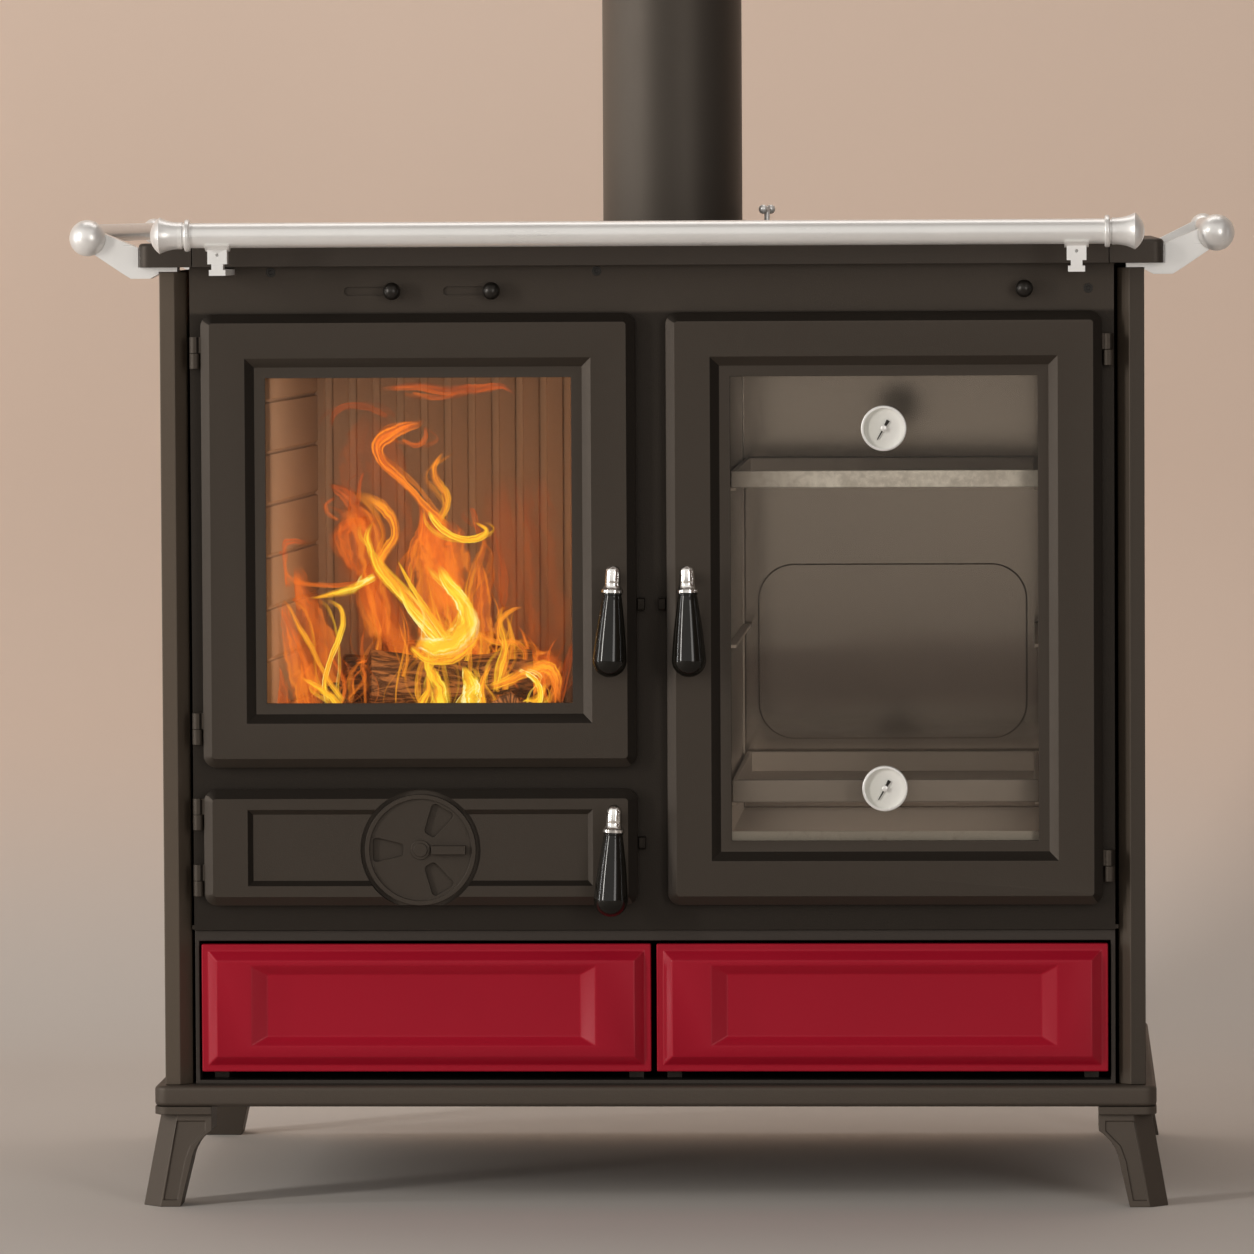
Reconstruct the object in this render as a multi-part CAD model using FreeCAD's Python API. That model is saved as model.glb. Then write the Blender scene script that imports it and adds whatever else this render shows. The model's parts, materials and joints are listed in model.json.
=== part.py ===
import FreeCAD, Part
import math
import os

# A free-standing wood cookstove, in millimetres.
# +X is to the right of a person facing it, +Y to the back and +Z up.
# The origin is on the floor, in the middle of the stove's footprint.

V = FreeCAD.Vector
x_axis = V(1, 0, 0)
y_axis = V(0, 1, 0)
z_axis = V(0, 0, 1)
diagonal_share = math.sqrt(0.5)

# Whole stove
plate_top = 850.0
plate_width = 900.0
plate_depth = 600.0
plate_thick = 21.0
plate_overhang = 17.0
foot_height = 87.5
plinth_thick = 18.5
plinth_overhang = 9.5
flue_diameter = 130.0
flue_top = 1110.0
rail_reach = 60.0
rail_cap_radius = 16.0

# Fits and clearances
pin_clearance = 0.05
seat_gap = 0.3
slide_gap = 0.3
seam_gap = 0.6
overrun = 5.0

# Side panels with their posts, back panel and deck
tab_thick = 4.0
post_face = 13.0
post_width = 23.5
post_depth = 30.0
panel_thick = 3.0
post_gap = 3.0
back_panel_thick = 2.0
back_panel_inset = 4.0
back_emboss_depth = 3.0
back_emboss_margin = 70.0
back_emboss_slope = 6.0
deck_thick = 4.0

# Cast front frame
frame_setback = 2.0
frame_thick = 8.0
frame_bottom_drop = 23.0
door_overlap = 12.0
aperture_radius = 8.0
slot_height = 7.6
slot_wall = 2.0
screw_radius = 4.2
screw_sink = 2.0
hex_socket_radius = 1.9
hex_socket_depth = 1.2
plate_screw_drop = 5.0
fire_screw_inset = 61.5
stile_screw_inset = 34.0
oven_screw_inset = 12.0

# Doors
door_bottom = 266.0
door_top_drop = 41.5
ash_door_height = 102.5
ash_door_gap = 19.5
door_margin = 10.5
stile_width = 26.6
door_gap = 3.0
door_thick = 14.0
door_radius = 11.0
door_bevel = 8.0
door_bevel_depth = 6.0
moulding_margin = 39.0
ash_moulding_margin = 17.5
moulding_slope = 8.0
ash_moulding_slope = 4.5
moulding_depth = 6.0
ledge_width = 9.5
ledge_thick = 4.0
glass_thick = 4.0
glass_lap = 7.0
glass_clearance = 1.0
clip_width = 24.0
clip_reach = 14.0
clip_lap = 5.0
clip_thick = 2.0
clip_screw_radius = 3.5
clip_screw_height = 1.5
clips_per_side = 2
seal_margin = 3.0
seal_width = 7.0
seal_groove = 3.0

# Hinges
hinge_offset = 5.5
hinge_depth = 5.0
knuckle_radius = 4.6
hinge_pin_radius = 2.5
knuckle_height = 14.0
hinge_inset = 34.0
ash_hinge_inset = 22.0
lug_width = 5.0

# Handles
handle_inset = 19.3
handle_standoff = 21.0
fire_handle_drop = 220.5
ash_handle_drop = 12.0
ferrule_top_radius = 6.6
ferrule_waist_radius = 6.9
ferrule_collar_radius = 9.7
ferrule_waist_drop = 14.5
ferrule_collar_drop = 21.7
ferrule_length = 24.2
grip_neck_radius = 8.8
grip_radius = 15.2
grip_bottom_drop = 98.7
spindle_radius = 5.0
spindle_drop = 12.0
cam_thick = 4.0
cam_radius = 6.5
cam_reach = 15.0
cam_tip_radius = 3.0
cam_gap = 2.0
left_lean = 2.5
oven_lean = -1.0
keeper_width = 6.0
keeper_height = 11.0
keeper_length = 10.0
keeper_drop = 36.0
keeper_gap = 1.0

# Air disc on the ash door
disc_drop = 2.0
disc_radius = 49.0
disc_rim = 4.0
disc_rim_height = 6.5
disc_thick = 4.0
scoop_radius = 53.0
scoop_depth = 8.0
disc_stud_radius = 4.0
disc_hub_radius = 8.5
disc_hub_height = 2.0
disc_cap_radius = 6.0
disc_cap_height = 1.5
port_inner = 15.0
port_outer = 42.0
port_inner_width = 10.0
port_outer_width = 23.0
port_corner = 3.5
disc_tab_start = 10.0
disc_tab_length = 30.0
disc_tab_width = 7.5
disc_tab_height = 7.0
port_count = 3
port_step = 360.0 / port_count

# Gauges in the oven glass
gauge_inset = 102.5
gauge_radius = 20.0
gauge_wall = 2.2
gauge_depth = 8.0
gauge_dial_depth = 4.0
gauge_dial_thick = 0.8
gauge_stem_radius = 5.0
gauge_nut_radius = 8.5
gauge_nut_height = 4.0
pointer_thick = 0.6
pointer_gap = 0.6
pointer_boss_radius = 1.8
pointer_tip_length = 11.5
pointer_tail_length = 8.0
pointer_tip_width = 0.7
pointer_tail_width = 3.2
pointer_angle = 240.0
pointer_pin_radius = 0.8

# Drawers and their frame
drawer_rise = 12.0
drawer_drop = 12.0
drawer_edge_gap = 2.5
drawer_middle_gap = 5.0
drawer_frame_side = 4.0
drawer_frame_sill = 4.0
drawer_frame_lip = 2.0
drawer_frame_depth = 22.0
drawer_frame_setback = 4.0
drawer_proud = 12.0
drawer_front_thick = 16.0
drawer_flange = 6.0
drawer_bevel = 8.0
drawer_panel_inner_margin = 48.5
drawer_panel_outer_margin = 44.5
drawer_panel_drop = 18.5
drawer_panel_rise = 23.5
drawer_panel_slope = 14.0
drawer_panel_slope_upright = 8.0
drawer_panel_depth = 6.5
drawer_box_inset = 11.0
drawer_box_lift = 5.0
drawer_box_headroom = 9.0
drawer_box_depth = 440.0
sheet_thick = 1.5
runner_width = 10.0
runner_fin = 2.0
runner_fin_height = 22.0
runner_gap = 1.0

# Firebox, bricks, grate and ash pan
firebox_depth = 400.0
firebox_drop = 12.5
shell_wall = 4.0
shell_clearance = 3.0
flange_lap = 8.0
flange_thick = 3.0
grate_shelf_drop = 2.0
brick_front_thick = 33.0
brick_back_thick = 52.0
brick_height = 368.0
brick_course = 46.0
brick_groove = 3.0
brick_groove_depth = 2.5
rear_brick_thick = 40.0
rear_rib_pitch = 22.0
rear_rib_groove = 7.0
rear_rib_depth = 4.0
grate_width = 220.0
grate_length = 270.0
grate_thick = 10.0
grate_rest = 10.0
grate_border = 16.0
grate_bar = 9.0
grate_slot = 9.0
ash_floor_rise = 1.0
ash_pan_side_gap = 12.0
ash_pan_height = 58.0
ash_pan_front_gap = 12.0
ash_pan_depth = 360.0
ash_pan_lip_width = 90.0
ash_pan_lip_reach = 8.0

# Oven
oven_width = 277.0
oven_depth = 417.0
oven_rise = 55.0
oven_drop = 50.5
oven_wall = 3.0
oven_sill_reach = 6.0
oven_sill_height = 12.0
emboss_width = 249.0
emboss_rise = 64.0
emboss_drop = 190.0
emboss_radius = 33.0
emboss_height = 2.0
runner_rail_reach = 7.0
runner_rail_thick = 3.0
runner_rail_front = 25.0
runner_rail_back = 20.0
runner_post_width = 8.0
runner_post_thick = 1.5
tray_side_gap = 1.5
tray_front_gap = 14.0
tray_length = 385.0
tray_rim = 6.0
shelf_drop = 105.0
shelf_height = 15.0
tray_rise = 33.0
tray_height = 20.0

# Hob plate with its ring and lid
end_casting_width = 48.0
plate_corner_radius = 9.0
plate_edge_round = 3.5
hob_thick = 12.0
hob_skirt = 14.0
hob_centre_depth = 245.0
ring_radius = 140.0
lid_radius = 88.0
ring_thick = 8.0
lid_thick = 4.5
hob_rebate = 7.0
hob_lip_gap = 0.4
lid_notch_length = 22.0
lid_notch_width = 8.0
lid_notch_depth = 2.5

# Flue
flue_depth = 490.0
flue_wall = 2.0
collar_wall = 4.0
collar_height = 17.0
collar_flange = 10.0
collar_flange_thick = 5.0
collar_spigot_drop = 14.0
flue_socket_depth = 14.0

# Flue damper and its handle
damper_offset = 88.0
damper_stem_radius = 2.6
damper_stem_rise = 27.0
damper_collar_radius = 5.5
damper_collar_height = 3.0
damper_ball_radius = 4.4
damper_bar_radius = 1.7
damper_bar_length = 22.0
damper_bar_angle = 74.0
flap_height = 38.0
flap_half_length = 46.0
flap_thick = 2.0
flap_gap = 6.0

# Sliders and the push-pull rod in the control band
control_drop = 22.0
first_slider_offset = 179.5
second_slider_offset = 267.0
slider_travel = 39.2
slider_ball_radius = 7.8
slider_stem_radius = 3.0
slider_reach = 12.0
slider_end_play = 0.8
shutter_lap = 0.3
shutter_height = 24.0
shutter_thick = 2.0
rod_offset = 78.5
rod_length = 210.0
rod_flap_width = 60.0
rod_flap_height = 34.0
rod_flap_thick = 2.0

# Front rail
rail_rise = 7.0
rail_radius = 11.0
rail_half_length = 432.5
cap_dome_length = 8.5
cap_flare_length = 20.0
cap_neck_radius = 11.8
cap_socket_depth = 12.0
ring_collar_radius = 14.0
ring_collar_width = 4.5
ring_collar_inset = 32.5
bracket_inset = 59.0
saddle_width = 21.0
saddle_thick = 3.0
saddle_drop = 5.0
block_width = 17.0
block_depth = 13.0
block_height = 11.0
bracket_foot_width = 14.5
bracket_foot_height = 5.0
bracket_notch = 2.2
bracket_hole_radius = 1.4
bracket_foot_drop = 7.0

# Side rails
side_rail_offset = 496.0
side_rail_rise = 9.0
side_rail_radius = 8.0
side_ball_radius = 16.0
side_ball_rise = 5.0
side_ball_setback = 17.0
rear_ball_radius = 12.0
side_rail_length = 568.0
arm_width = 24.0
arm_edge_gap = 1.2
arm_inner_drop = 4.0
arm_lobe_drop = 10.0
arm_lobe_out = 16.0
arm_lobe_in = 9.0
arm_neck = 10.0
arm_tab_reach = 16.0

# Feet
foot_flange = 51.0
foot_flange_thick = 7.0
foot_top_inset = 4.5
foot_splay = 10.0
foot_sole = 34.0
foot_knee_height = 66.0
foot_calf_height = 39.0
foot_calf_inset = 33.0
foot_bend_height = 53.0
foot_bend_inset = 38.0
foot_facet = 16.0
foot_rib = 6.0
foot_panel_depth = 1.5

# Plinth
plinth_corner_radius = 12.0
plinth_round = 4.0
plinth_border = 62.0
plinth_plate = 5.0

# Planes worked out from the sizes above
plate_bottom = plate_top - plate_thick
overall_depth = plate_depth + rail_reach + rail_cap_radius
plate_front = rail_reach + rail_cap_radius - overall_depth / 2
plate_back = plate_front + plate_depth
plate_half = plate_width / 2
body_half = plate_half - plate_overhang
body_front = plate_front + plate_overhang
body_back = plate_back - plate_overhang
body_top = plate_bottom - tab_thick
plinth_top = foot_height + plinth_thick
door_top = plate_bottom - door_top_drop
frame_bottom = door_bottom - frame_bottom_drop
plinth_half = body_half + plinth_overhang
post_inner = body_half - post_width
frame_half = post_inner - post_gap
frame_front = body_front + frame_setback
frame_back = frame_front + frame_thick
shutter_front = frame_front + slot_wall + slide_gap
back_panel_front = body_back - back_panel_inset - back_panel_thick
door_back = frame_front - door_gap
door_front = door_back - door_thick
door_outer = frame_half - door_margin
door_inner = stile_width / 2
door_middle = (door_outer + door_inner) / 2
fire_door_bottom = door_bottom + ash_door_height + ash_door_gap
ash_door_top = door_bottom + ash_door_height
control_height = plate_bottom - control_drop
hinge_x = door_outer + hinge_offset
hinge_y = door_back - hinge_depth
moulding_floor = door_front + moulding_depth
ledge_back = moulding_floor + ledge_thick
glass_front = ledge_back
glass_back = glass_front + glass_thick
glass_margin = moulding_margin + moulding_slope + ledge_width
handle_x = door_inner + handle_inset
handle_y = door_front - handle_standoff
fire_handle_top = door_top - fire_handle_drop
ash_handle_top = ash_door_top - ash_handle_drop
ash_middle = (door_bottom + ash_door_top) / 2 - disc_drop
scoop_floor = door_front + scoop_depth
disc_back = scoop_floor - seat_gap
disc_front = disc_back - disc_thick
deck_top = frame_bottom + deck_thick
firebox_top = door_top - firebox_drop
grate_shelf_top = fire_door_bottom - grate_shelf_drop
shell_outer = door_outer - door_overlap - shell_clearance
shell_inner = door_inner + door_overlap + shell_clearance
ash_floor_top = door_bottom + door_overlap + ash_floor_rise
shell_back = frame_back + firebox_depth
firebox_back = shell_back - shell_wall
oven_left = door_middle - oven_width / 2
oven_right = door_middle + oven_width / 2
oven_back = frame_back + oven_depth
oven_floor = door_bottom + oven_rise
oven_top = door_top - oven_drop
emboss_bottom = oven_floor + emboss_rise
emboss_top = oven_top - emboss_drop
shelf_level = oven_top - shelf_drop
tray_level = oven_floor + tray_rise
spare_level = (shelf_level + tray_level) / 2
hob_centre_y = plate_front + hob_centre_depth
hob_half = plate_half - end_casting_width
flue_y = plate_front + flue_depth
flue_radius = flue_diameter / 2
damper_y = flue_y
rail_y = plate_front - rail_reach
rail_height = plate_top + rail_rise
ring_collar_offset = rail_half_length - ring_collar_inset
bracket_offset = rail_half_length - bracket_inset
bracket_foot_z = plate_bottom - bracket_foot_drop
side_rail_height = plate_top + side_rail_rise
side_ball_height = plate_top + side_ball_rise
arm_inner_height = plate_top - arm_inner_drop
side_ball_y = plate_front + side_ball_setback
drawer_y = frame_front - drawer_proud
drawer_half = frame_half - drawer_frame_side - drawer_edge_gap
drawer_inner = drawer_middle_gap / 2
drawer_bottom = plinth_top + drawer_rise
drawer_top = frame_bottom - drawer_drop


def block(x0, x1, y0, y1, z0, z1):
    return Part.makeBox(x1 - x0, y1 - y0, z1 - z0, V(x0, y0, z0))


def rod_x(radius, x0, x1, y, z):
    return Part.makeCylinder(radius, x1 - x0, V(x0, y, z), x_axis)


def rod_y(radius, x, y0, y1, z):
    return Part.makeCylinder(radius, y1 - y0, V(x, y0, z), y_axis)


def rod_z(radius, x, y, z0, z1):
    return Part.makeCylinder(radius, z1 - z0, V(x, y, z0), z_axis)


def ball(radius, x, y, z):
    return Part.makeSphere(radius, V(x, y, z))


def fused(shapes):
    joined = shapes[0]
    if len(shapes) > 1:
        joined = joined.fuse(shapes[1:])
    return joined.removeSplitter()


def group(shapes):
    return Part.makeCompound(shapes)


def mirrored(shape):
    return shape.mirror(V(0, 0, 0), x_axis)


def both_sides(shape):
    return group([shape, mirrored(shape)])


def polygon_face(points):
    return Part.Face(Part.makePolygon(points + [points[0]]))


def rounded_outline(x0, x1, z0, z1, radius, y):
    # A rectangle with round corners, standing in the plane at y
    inset = radius * (1 - diagonal_share)
    corners = [
        (x0 + radius, z0, x0 + inset, z0 + inset, x0, z0 + radius),
        (x0, z1 - radius, x0 + inset, z1 - inset, x0 + radius, z1),
        (x1 - radius, z1, x1 - inset, z1 - inset, x1, z1 - radius),
        (x1, z0 + radius, x1 - inset, z0 + inset, x1 - radius, z0),
    ]
    edges = []
    for place, corner in enumerate(corners):
        ax, az, bx, bz, cx, cz = corner
        edges.append(Part.Arc(V(ax, y, az), V(bx, y, bz), V(cx, y, cz)).toShape())
        following = corners[(place + 1) % len(corners)]
        edges.append(Part.LineSegment(V(cx, y, cz), V(following[0], y, following[1])).toShape())
    return Part.Wire(edges)


def rounded_slab(x0, x1, y0, y1, z0, z1, radius):
    return Part.Face(rounded_outline(x0, x1, z0, z1, radius, y0)).extrude(V(0, y1 - y0, 0))


def plain_outline(x0, x1, z0, z1, y):
    corners = [V(x0, y, z0), V(x0, y, z1), V(x1, y, z1), V(x1, y, z0)]
    return Part.makePolygon(corners + [corners[0]])


def bevelled_slab(x0, x1, z0, z1, front, back, radius, bevel, bevel_depth):
    # A flat casting whose front edge is bevelled all round
    shoulder = front + bevel_depth
    body = rounded_slab(x0, x1, shoulder, back, z0, z1, radius)
    rim = rounded_outline(x0, x1, z0, z1, radius, shoulder)
    inner_radius = radius - bevel if radius > bevel else radius / 2
    face = rounded_outline(x0 + bevel, x1 - bevel, z0 + bevel, z1 - bevel, inner_radius, front)
    return fused([body, Part.makeLoft([rim, face], True, True)])


def sloped_pocket(x0, x1, z0, z1, front, depth, slope_x, slope_z):
    # A sunk panel with sloping sides; its mouth runs on past the front face
    more = overrun / depth
    mouth = plain_outline(x0 - slope_x * more, x1 + slope_x * more,
                          z0 - slope_z * more, z1 + slope_z * more, front - overrun)
    floor = plain_outline(x0 + slope_x, x1 - slope_x, z0 + slope_z, z1 - slope_z, front + depth)
    return Part.makeLoft([mouth, floor], True, True)


def ring_slab(x0, x1, y0, y1, z0, z1, width):
    outer = block(x0, x1, y0, y1, z0, z1)
    inner = block(x0 + width, x1 - width, y0 - overrun, y1 + overrun, z0 + width, z1 - width)
    return outer.cut(inner)


def turned(profile, x, y, axis):
    # A closed profile of (radius, height) edges turned about an upright or level axis
    return profile.revolve(V(x, y, 0), axis, 360)


# Plinth and feet

def base_plinth():
    front = body_front - plinth_overhang
    back = body_back + plinth_overhang
    slab = block(-plinth_half, plinth_half, front, back, foot_height, plinth_top)
    upright = [edge for edge in slab.Edges if abs(edge.tangentAt(edge.FirstParameter).z) > diagonal_share]
    slab = slab.makeFillet(plinth_corner_radius, upright)
    rim = [edge for edge in slab.Edges if abs(edge.BoundBox.ZMax - edge.BoundBox.ZMin) < plinth_round]
    slab = slab.makeFillet(plinth_round, rim)
    hollow = block(-plinth_half + plinth_border, plinth_half - plinth_border,
                   front + plinth_border, back - plinth_border,
                   foot_height - overrun, plinth_top - plinth_plate)
    return slab.cut(hollow)


def foot_silhouette():
    # Inset from the plinth's edge against height, as seen from the front and from the side alike
    far = foot_flange + foot_splay
    top = foot_height - foot_flange_thick
    lines = [
        (V(foot_flange, 0, top), V(-far, 0, top)),
        (V(-far, 0, top), V(-far, 0, 0)),
        (V(-far, 0, 0), V(foot_sole - foot_splay, 0, 0)),
        (V(foot_sole - foot_splay, 0, 0), V(foot_calf_inset, 0, foot_calf_height)),
        (V(foot_flange, 0, foot_knee_height), V(foot_flange, 0, top)),
    ]
    edges = [Part.LineSegment(start, end).toShape() for start, end in lines]
    bend = Part.Arc(V(foot_calf_inset, 0, foot_calf_height), V(foot_bend_inset, 0, foot_bend_height),
                    V(foot_flange, 0, foot_knee_height)).toShape()
    return Part.Face(Part.Wire(edges[:4] + [bend] + edges[4:]))


def foot_blank():
    # The splayed outer faces with the facet between them
    top = foot_height - foot_flange_thick
    sections = []
    for edge, height in ((-foot_splay, 0), (foot_top_inset, top)):
        corners = [V(edge + foot_facet, edge, height), V(foot_flange, edge, height),
                   V(foot_flange, foot_flange, height), V(edge, foot_flange, height),
                   V(edge, edge + foot_facet, height)]
        sections.append(Part.makePolygon(corners + [corners[0]]))
    return Part.makeLoft(sections, True, True)


def foot_panel(blank):
    # The sunk field inside the raised border of one outer face
    top = foot_height - foot_flange_thick
    low = [foot_facet - foot_splay + foot_rib / 2, foot_sole - foot_splay - foot_rib / 2]
    high = [foot_facet + foot_top_inset, foot_flange - foot_rib]
    far = foot_flange + foot_splay
    corners = [V(low[0], -far, foot_rib), V(low[1], -far, foot_rib),
               V(foot_calf_inset - foot_rib, -far, foot_calf_height),
               V(foot_bend_inset - foot_rib, -far, foot_bend_height),
               V(high[1], -far, foot_knee_height), V(high[1], -far, top - foot_rib),
               V(high[0], -far, top - foot_rib)]
    prism = polygon_face(corners).extrude(V(0, far + foot_flange, 0))
    sunk = blank.copy()
    sunk.translate(V(0, foot_panel_depth, 0))
    beyond = block(-far, foot_flange, foot_flange / 2, far, -overrun, foot_height)
    return prism.cut(sunk).cut(beyond)


def front_left_foot():
    blank = foot_blank()
    profile = foot_silhouette()
    far = foot_flange + foot_splay
    profile.translate(V(0, -far, 0))
    across = profile.extrude(V(0, far + foot_flange, 0))
    along = across.mirror(V(0, 0, 0), V(diagonal_share, -diagonal_share, 0))
    leg = blank.common(across).common(along)
    panel = foot_panel(blank)
    leg = leg.cut(panel).cut(panel.mirror(V(0, 0, 0), V(diagonal_share, -diagonal_share, 0)))
    flange = block(0, foot_flange, 0, foot_flange, foot_height - foot_flange_thick, foot_height)
    corner = [edge for edge in flange.Edges
              if edge.BoundBox.XMax < foot_flange / 2 and edge.BoundBox.YMax < foot_flange / 2]
    flange = flange.makeFillet(plinth_corner_radius, corner)
    foot = fused([leg, flange])
    foot.translate(V(-plinth_half, body_front - plinth_overhang, 0))
    return foot


def feet():
    front_left = front_left_foot()
    middle = V(0, (body_front + body_back) / 2, 0)
    rear_left = front_left.mirror(middle, y_axis)
    return group([front_left, mirrored(front_left), rear_left, mirrored(rear_left)])


# Body shell

def left_side_panel():
    bevel = post_width - post_face
    plan = [
        (0, body_front), (post_face, body_front), (post_width, body_front + bevel),
        (post_width, body_front + post_depth), (panel_thick, body_front + post_depth),
        (panel_thick, body_back - post_depth), (post_width, body_back - post_depth),
        (post_width, body_back), (0, body_back),
    ]
    corners = [V(inset - body_half, y, plinth_top) for inset, y in plan]
    return polygon_face(corners).extrude(V(0, 0, body_top - plinth_top))


def back_panel():
    panel = block(-post_inner, post_inner, back_panel_front, back_panel_front + back_panel_thick,
                  plinth_top, plate_bottom)
    left = -post_inner + back_emboss_margin
    low = plinth_top + back_emboss_margin
    high = plate_bottom - back_emboss_margin
    field = sloped_pocket(left, -left, low, high, back_panel_front, back_emboss_depth,
                          back_emboss_slope, back_emboss_slope)
    mouth = block(-post_inner, post_inner, back_panel_front, body_back, plinth_top, plate_bottom)
    dish = field.common(mouth)
    inner = dish.copy()
    dish.translate(V(0, back_panel_thick, 0))
    return fused([panel, dish]).cut(inner)


def body_deck():
    return block(-post_inner, post_inner, frame_back, back_panel_front, frame_bottom, deck_top)


def aperture(x0, x1, z0, z1):
    return rounded_slab(x0 + door_overlap, x1 - door_overlap, frame_front - overrun, frame_back + overrun,
                        z0 + door_overlap, z1 - door_overlap, aperture_radius)


def slot_ends(knob_x):
    end = slider_stem_radius + slider_end_play
    return knob_x - slider_travel - end, knob_x + end


def slider_slot(knob_x):
    left, right = slot_ends(knob_x)
    return rounded_slab(left, right, frame_front - overrun, frame_back + overrun,
                        control_height - slot_height / 2, control_height + slot_height / 2,
                        slot_height / 2 - pin_clearance)


def screw_places():
    height = plate_bottom - plate_screw_drop
    return [(-door_outer + fire_screw_inset, height), (-door_inner - stile_screw_inset, height),
            (door_outer - oven_screw_inset, control_height)]


def slider_x(offset):
    return offset - frame_half


def shutter_pocket():
    # The room in the back of the control band in which both shutters slide
    left = slot_ends(slider_x(first_slider_offset))[0] - shutter_lap - slider_travel - seat_gap
    right = slot_ends(slider_x(second_slider_offset))[1] + shutter_lap + seat_gap
    half = shutter_height / 2 + seat_gap
    return block(left, right, shutter_front - slide_gap, frame_back + overrun,
                 control_height - half, control_height + half)


def front_frame():
    frame = block(-frame_half, frame_half, frame_front, frame_back, frame_bottom, plate_bottom)
    holes = [
        aperture(-door_outer, -door_inner, fire_door_bottom, door_top),
        aperture(-door_outer, -door_inner, door_bottom, ash_door_top),
        aperture(door_inner, door_outer, door_bottom, door_top),
        slider_slot(slider_x(first_slider_offset)),
        slider_slot(slider_x(second_slider_offset)),
        shutter_pocket(),
        rod_y(slider_stem_radius + pin_clearance, frame_half - rod_offset,
              frame_front - overrun, frame_back + overrun, control_height),
    ]
    for x, z in screw_places():
        holes.append(rod_y(screw_radius, x, frame_front - overrun, frame_front + screw_sink, z))
    return frame.cut(holes)


def front_screws():
    screws = []
    for x, z in screw_places():
        head = rod_y(screw_radius - pin_clearance, x, frame_front, frame_front + screw_sink, z)
        socket = rod_y(hex_socket_radius, x, frame_front - overrun, frame_front + hex_socket_depth, z)
        screws.append(head.cut(socket))
    return group(screws)


# Doors

def door_frame(x0, x1, z0, z1):
    # A cast frame round a glass: bevelled edge, sloped moulding, ledge, and a rebate behind
    panel = bevelled_slab(x0, x1, z0, z1, door_front, door_back, door_radius, door_bevel, door_bevel_depth)
    pocket = sloped_pocket(x0 + moulding_margin, x1 - moulding_margin, z0 + moulding_margin,
                           z1 - moulding_margin, door_front, moulding_depth, moulding_slope, moulding_slope)
    window = block(x0 + glass_margin, x1 - glass_margin, door_front - overrun, door_back + overrun,
                   z0 + glass_margin, z1 - glass_margin)
    lap = glass_margin - glass_lap - glass_clearance
    rebate = block(x0 + lap, x1 - lap, ledge_back, door_back + overrun, z0 + lap, z1 - lap)
    return panel.cut([pocket, window, rebate, seal_ring(x0, x1, z0, z1, door_back + overrun)])


def seal_ring(x0, x1, z0, z1, back):
    return ring_slab(x0 + seal_margin, x1 - seal_margin, door_back - seal_groove, back,
                     z0 + seal_margin, z1 - seal_margin, seal_width)


def door_glass(x0, x1, z0, z1):
    lap = glass_margin - glass_lap
    return block(x0 + lap, x1 - lap, glass_front, glass_back, z0 + lap, z1 - lap)


def glass_clip(x, z, out_x, out_z):
    # A small plate that laps the glass, screwed to the back of the frame
    reach = clip_reach - clip_lap
    half = clip_width / 2
    if out_x:
        x0, x1 = sorted((x - out_x * clip_lap, x + out_x * reach))
        plate = block(x0, x1, door_back, door_back + clip_thick, z - half, z + half)
    else:
        z0, z1 = sorted((z - out_z * clip_lap, z + out_z * reach))
        plate = block(x - half, x + half, door_back, door_back + clip_thick, z0, z1)
    screw = rod_y(clip_screw_radius, x + out_x * reach / 2, door_back + clip_thick,
                  door_back + clip_thick + clip_screw_height, z + out_z * reach / 2)
    return plate.fuse(screw)


def glass_clips(x0, x1, z0, z1):
    lap = glass_margin - glass_lap
    left, right, low, high = x0 + lap, x1 - lap, z0 + lap, z1 - lap
    clips = []
    for count in range(clips_per_side):
        share = (count + 1) / (clips_per_side + 1)
        across = left + (right - left) * share
        up = low + (high - low) * share
        clips.append(glass_clip(left, up, -1, 0))
        clips.append(glass_clip(right, up, 1, 0))
        clips.append(glass_clip(across, low, 0, -1))
        clips.append(glass_clip(across, high, 0, 1))
    return group(clips)


def hinge_heights(z0, z1, inset):
    # The join between lug below and knuckle above, at the lower and the upper hinge
    return [z0 + inset, z1 - inset]


def door_knuckles(side, z0, z1, inset):
    # The door's own halves of its hinges, on the left for side -1 and on the right for side 1
    x = side * hinge_x
    edge = side * door_outer
    parts = []
    for height in hinge_heights(z0, z1, inset):
        top = height + knuckle_height
        barrel = rod_z(knuckle_radius, x, hinge_y, height, top)
        near, far = sorted((x, edge))
        web = block(near, far, hinge_y - lug_width / 2, hinge_y + lug_width / 2, height, top)
        bore = rod_z(hinge_pin_radius + pin_clearance, x, hinge_y, height - overrun, top + overrun)
        parts.append(barrel.fuse(web).cut(bore))
    return parts


def hinge_lug(side, height):
    x = side * hinge_x
    low = height - knuckle_height
    barrel = rod_z(knuckle_radius, x, hinge_y, low, height - seat_gap)
    web = block(x - lug_width / 2, x + lug_width / 2, hinge_y, frame_front, low, height - seat_gap)
    pin = rod_z(hinge_pin_radius, x, hinge_y, low, height + knuckle_height)
    return fused([barrel, web, pin])


def hinge_lugs():
    lugs = []
    for side, z0, z1, inset in ((-1, fire_door_bottom, door_top, hinge_inset),
                                (-1, door_bottom, ash_door_top, ash_hinge_inset),
                                (1, door_bottom, door_top, hinge_inset)):
        for height in hinge_heights(z0, z1, inset):
            lugs.append(hinge_lug(side, height))
    return group(lugs)


def spindle_bore(x, top):
    return rod_y(spindle_radius + pin_clearance, x, door_front - overrun, door_back + overrun,
                 top - spindle_drop)


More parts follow.
